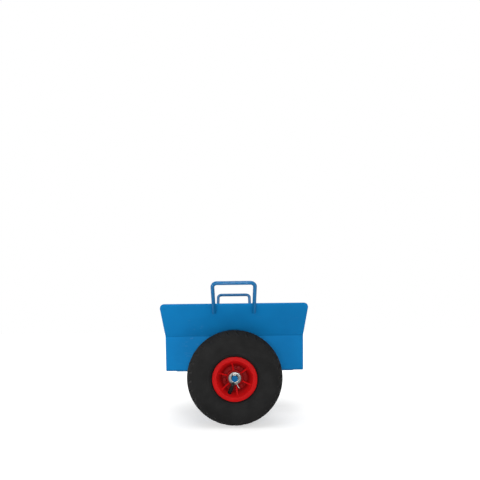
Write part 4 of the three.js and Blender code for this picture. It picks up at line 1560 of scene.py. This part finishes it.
def add_floor():
    mesh = bpy.data.meshes.new("floor")
    reach = 12.0
    mesh.from_pydata([(-reach, -reach, 0), (reach, -reach, 0), (reach, reach, 0), (-reach, reach, 0)], [], [(0, 1, 2, 3)])
    floor = bpy.data.objects.new("floor", mesh)
    bpy.context.scene.collection.objects.link(floor)
    material = bpy.data.materials.new("studio_floor")
    material.use_nodes = True
    tree = material.node_tree
    shader = tree.nodes["Principled BSDF"]
    shader.inputs["Base Color"].default_value = finishes().floor
    shader.inputs["Roughness"].default_value = 0.9
    shader.inputs["Specular IOR Level"].default_value = 0.0
    place = node(tree, "ShaderNodeTexCoord").outputs["Object"]
    away = node(tree, "ShaderNodeVectorMath", {"operation": "LENGTH"}, Vector=place).outputs["Value"]
    glow = math_node(tree, "MULTIPLY", shown_ray(tree), mapped(tree, away, 0.2, 1.4, 0.5, 1.0))
    shader.inputs["Emission Color"].default_value = (1, 1, 1, 1)
    tree.links.new(glow, shader.inputs["Emission Strength"])
    mesh.materials.append(material)


def add_world():
    world = bpy.data.worlds.new("studio")
    bpy.context.scene.world = world
    world.use_nodes = True
    tree = world.node_tree
    fill = 0.32
    strength = mapped(tree, shown_ray(tree), 0.0, 1.0, fill, 1.0)
    tree.nodes["Background"].inputs["Color"].default_value = (1, 1, 1, 1)
    tree.links.new(strength, tree.nodes["Background"].inputs["Strength"])


def add_lamp(name, place, target, wide, high, watts):
    lamp = bpy.data.lights.new(name, "AREA")
    lamp.shape = "RECTANGLE"
    lamp.size = wide
    lamp.size_y = high
    lamp.energy = watts
    obj = bpy.data.objects.new(name, lamp)
    obj.location = place
    obj.rotation_euler = (Vector(target) - Vector(place)).to_track_quat("-Z", "Y").to_euler()
    bpy.context.scene.collection.objects.link(obj)


def add_camera():
    stage = bpy.context.scene.cart_stage
    camera = bpy.data.cameras.new("camera")
    camera.sensor_width = 36
    camera.lens = stage.lens
    camera.shift_x = stage.shift_x
    camera.shift_y = stage.shift_y
    camera.clip_start = 0.01
    obj = bpy.data.objects.new("camera", camera)
    front = middle("front_tyre").y
    obj.location = (0, front - stage.camera_distance, stage.camera_height)
    obj.rotation_euler = (math.pi / 2 - stage.pitch, stage.roll, 0)
    bpy.context.scene.collection.objects.link(obj)
    bpy.context.scene.camera = obj


class CART_OT_stage(bpy.types.Operator):
    """Adds the floor, the studio light and the camera"""

    bl_idname = "cart.stage"
    bl_label = "Stage"

    def execute(self, context):
        context.scene.view_settings.view_transform = "Standard"
        add_floor()
        add_world()
        add_lamp("key", (0.45, -1.75, 1.4), (0, 0, 0.2), 0.7, 0.7, 4)
        add_lamp("front", (-0.15, -1.65, 0.47), (0, 0, 0.2), 0.9, 0.3, 7.5)
        add_lamp("front low", (0, -1.6, 0.2), (0, 0, 0.25), 0.5, 0.1, 6.6)
        add_lamp("top", (0.0, -0.4, 2.0), (0, 0, 0.2), 1.2, 1.2, 16)
        add_lamp("low left", (-0.85, -1.1, 0.1), (0, 0, 0.28), 0.9, 0.14, 2.7)
        add_lamp("low right", (0.85, -1.1, 0.1), (0, 0, 0.28), 0.9, 0.14, 2.7)
        add_lamp("side", (-1.5, -0.25, 0.4), (0, 0, 0.25), 0.12, 0.12, 6)
        add_lamp("back", (0.4, 1.9, 1.8), (0, 0, 0.2), 1.6, 1.6, 16)
        add_camera()
        return {"FINISHED"}


STEPS = (
    CART_OT_jaw_plates,
    CART_OT_handles,
    CART_OT_weld_beads,
    CART_OT_pads,
    CART_OT_hinge,
    CART_OT_axles,
    CART_OT_split_pins,
    CART_OT_tyres,
    CART_OT_rims,
    CART_OT_rim_bolts,
    CART_OT_valves,
    CART_OT_inner_parts,
    CART_OT_stage,
)


class CART_PT_sidebar(bpy.types.Panel):
    """Lists the steps that build the cart, with its sizes and colours"""

    bl_idname = "CART_PT_sidebar"
    bl_label = "Sheet Goods Cart"
    bl_space_type = "VIEW_3D"
    bl_region_type = "UI"
    bl_category = "Cart"

    def draw(self, context):
        for step in STEPS:
            self.layout.operator(step.bl_idname)
        scene = context.scene
        for group in (scene.cart_sizes, scene.cart_finishes, scene.cart_stage):
            box = self.layout.box()
            for name in group.__annotations__:
                box.prop(group, name)


CLASSES = (CartSizes, CartFinishes, CartStage, *STEPS, CART_PT_sidebar)


def register():
    for cls in CLASSES:
        bpy.utils.register_class(cls)
    bpy.types.Scene.cart_sizes = PointerProperty(type=CartSizes)
    bpy.types.Scene.cart_finishes = PointerProperty(type=CartFinishes)
    bpy.types.Scene.cart_stage = PointerProperty(type=CartStage)


def unregister():
    del bpy.types.Scene.cart_stage
    del bpy.types.Scene.cart_finishes
    del bpy.types.Scene.cart_sizes
    for cls in reversed(CLASSES):
        bpy.utils.unregister_class(cls)


def main():
    register()
    for step in STEPS:
        group, name = step.bl_idname.split(".")
        getattr(getattr(bpy.ops, group), name)()


if __name__ == "__main__":
    main()
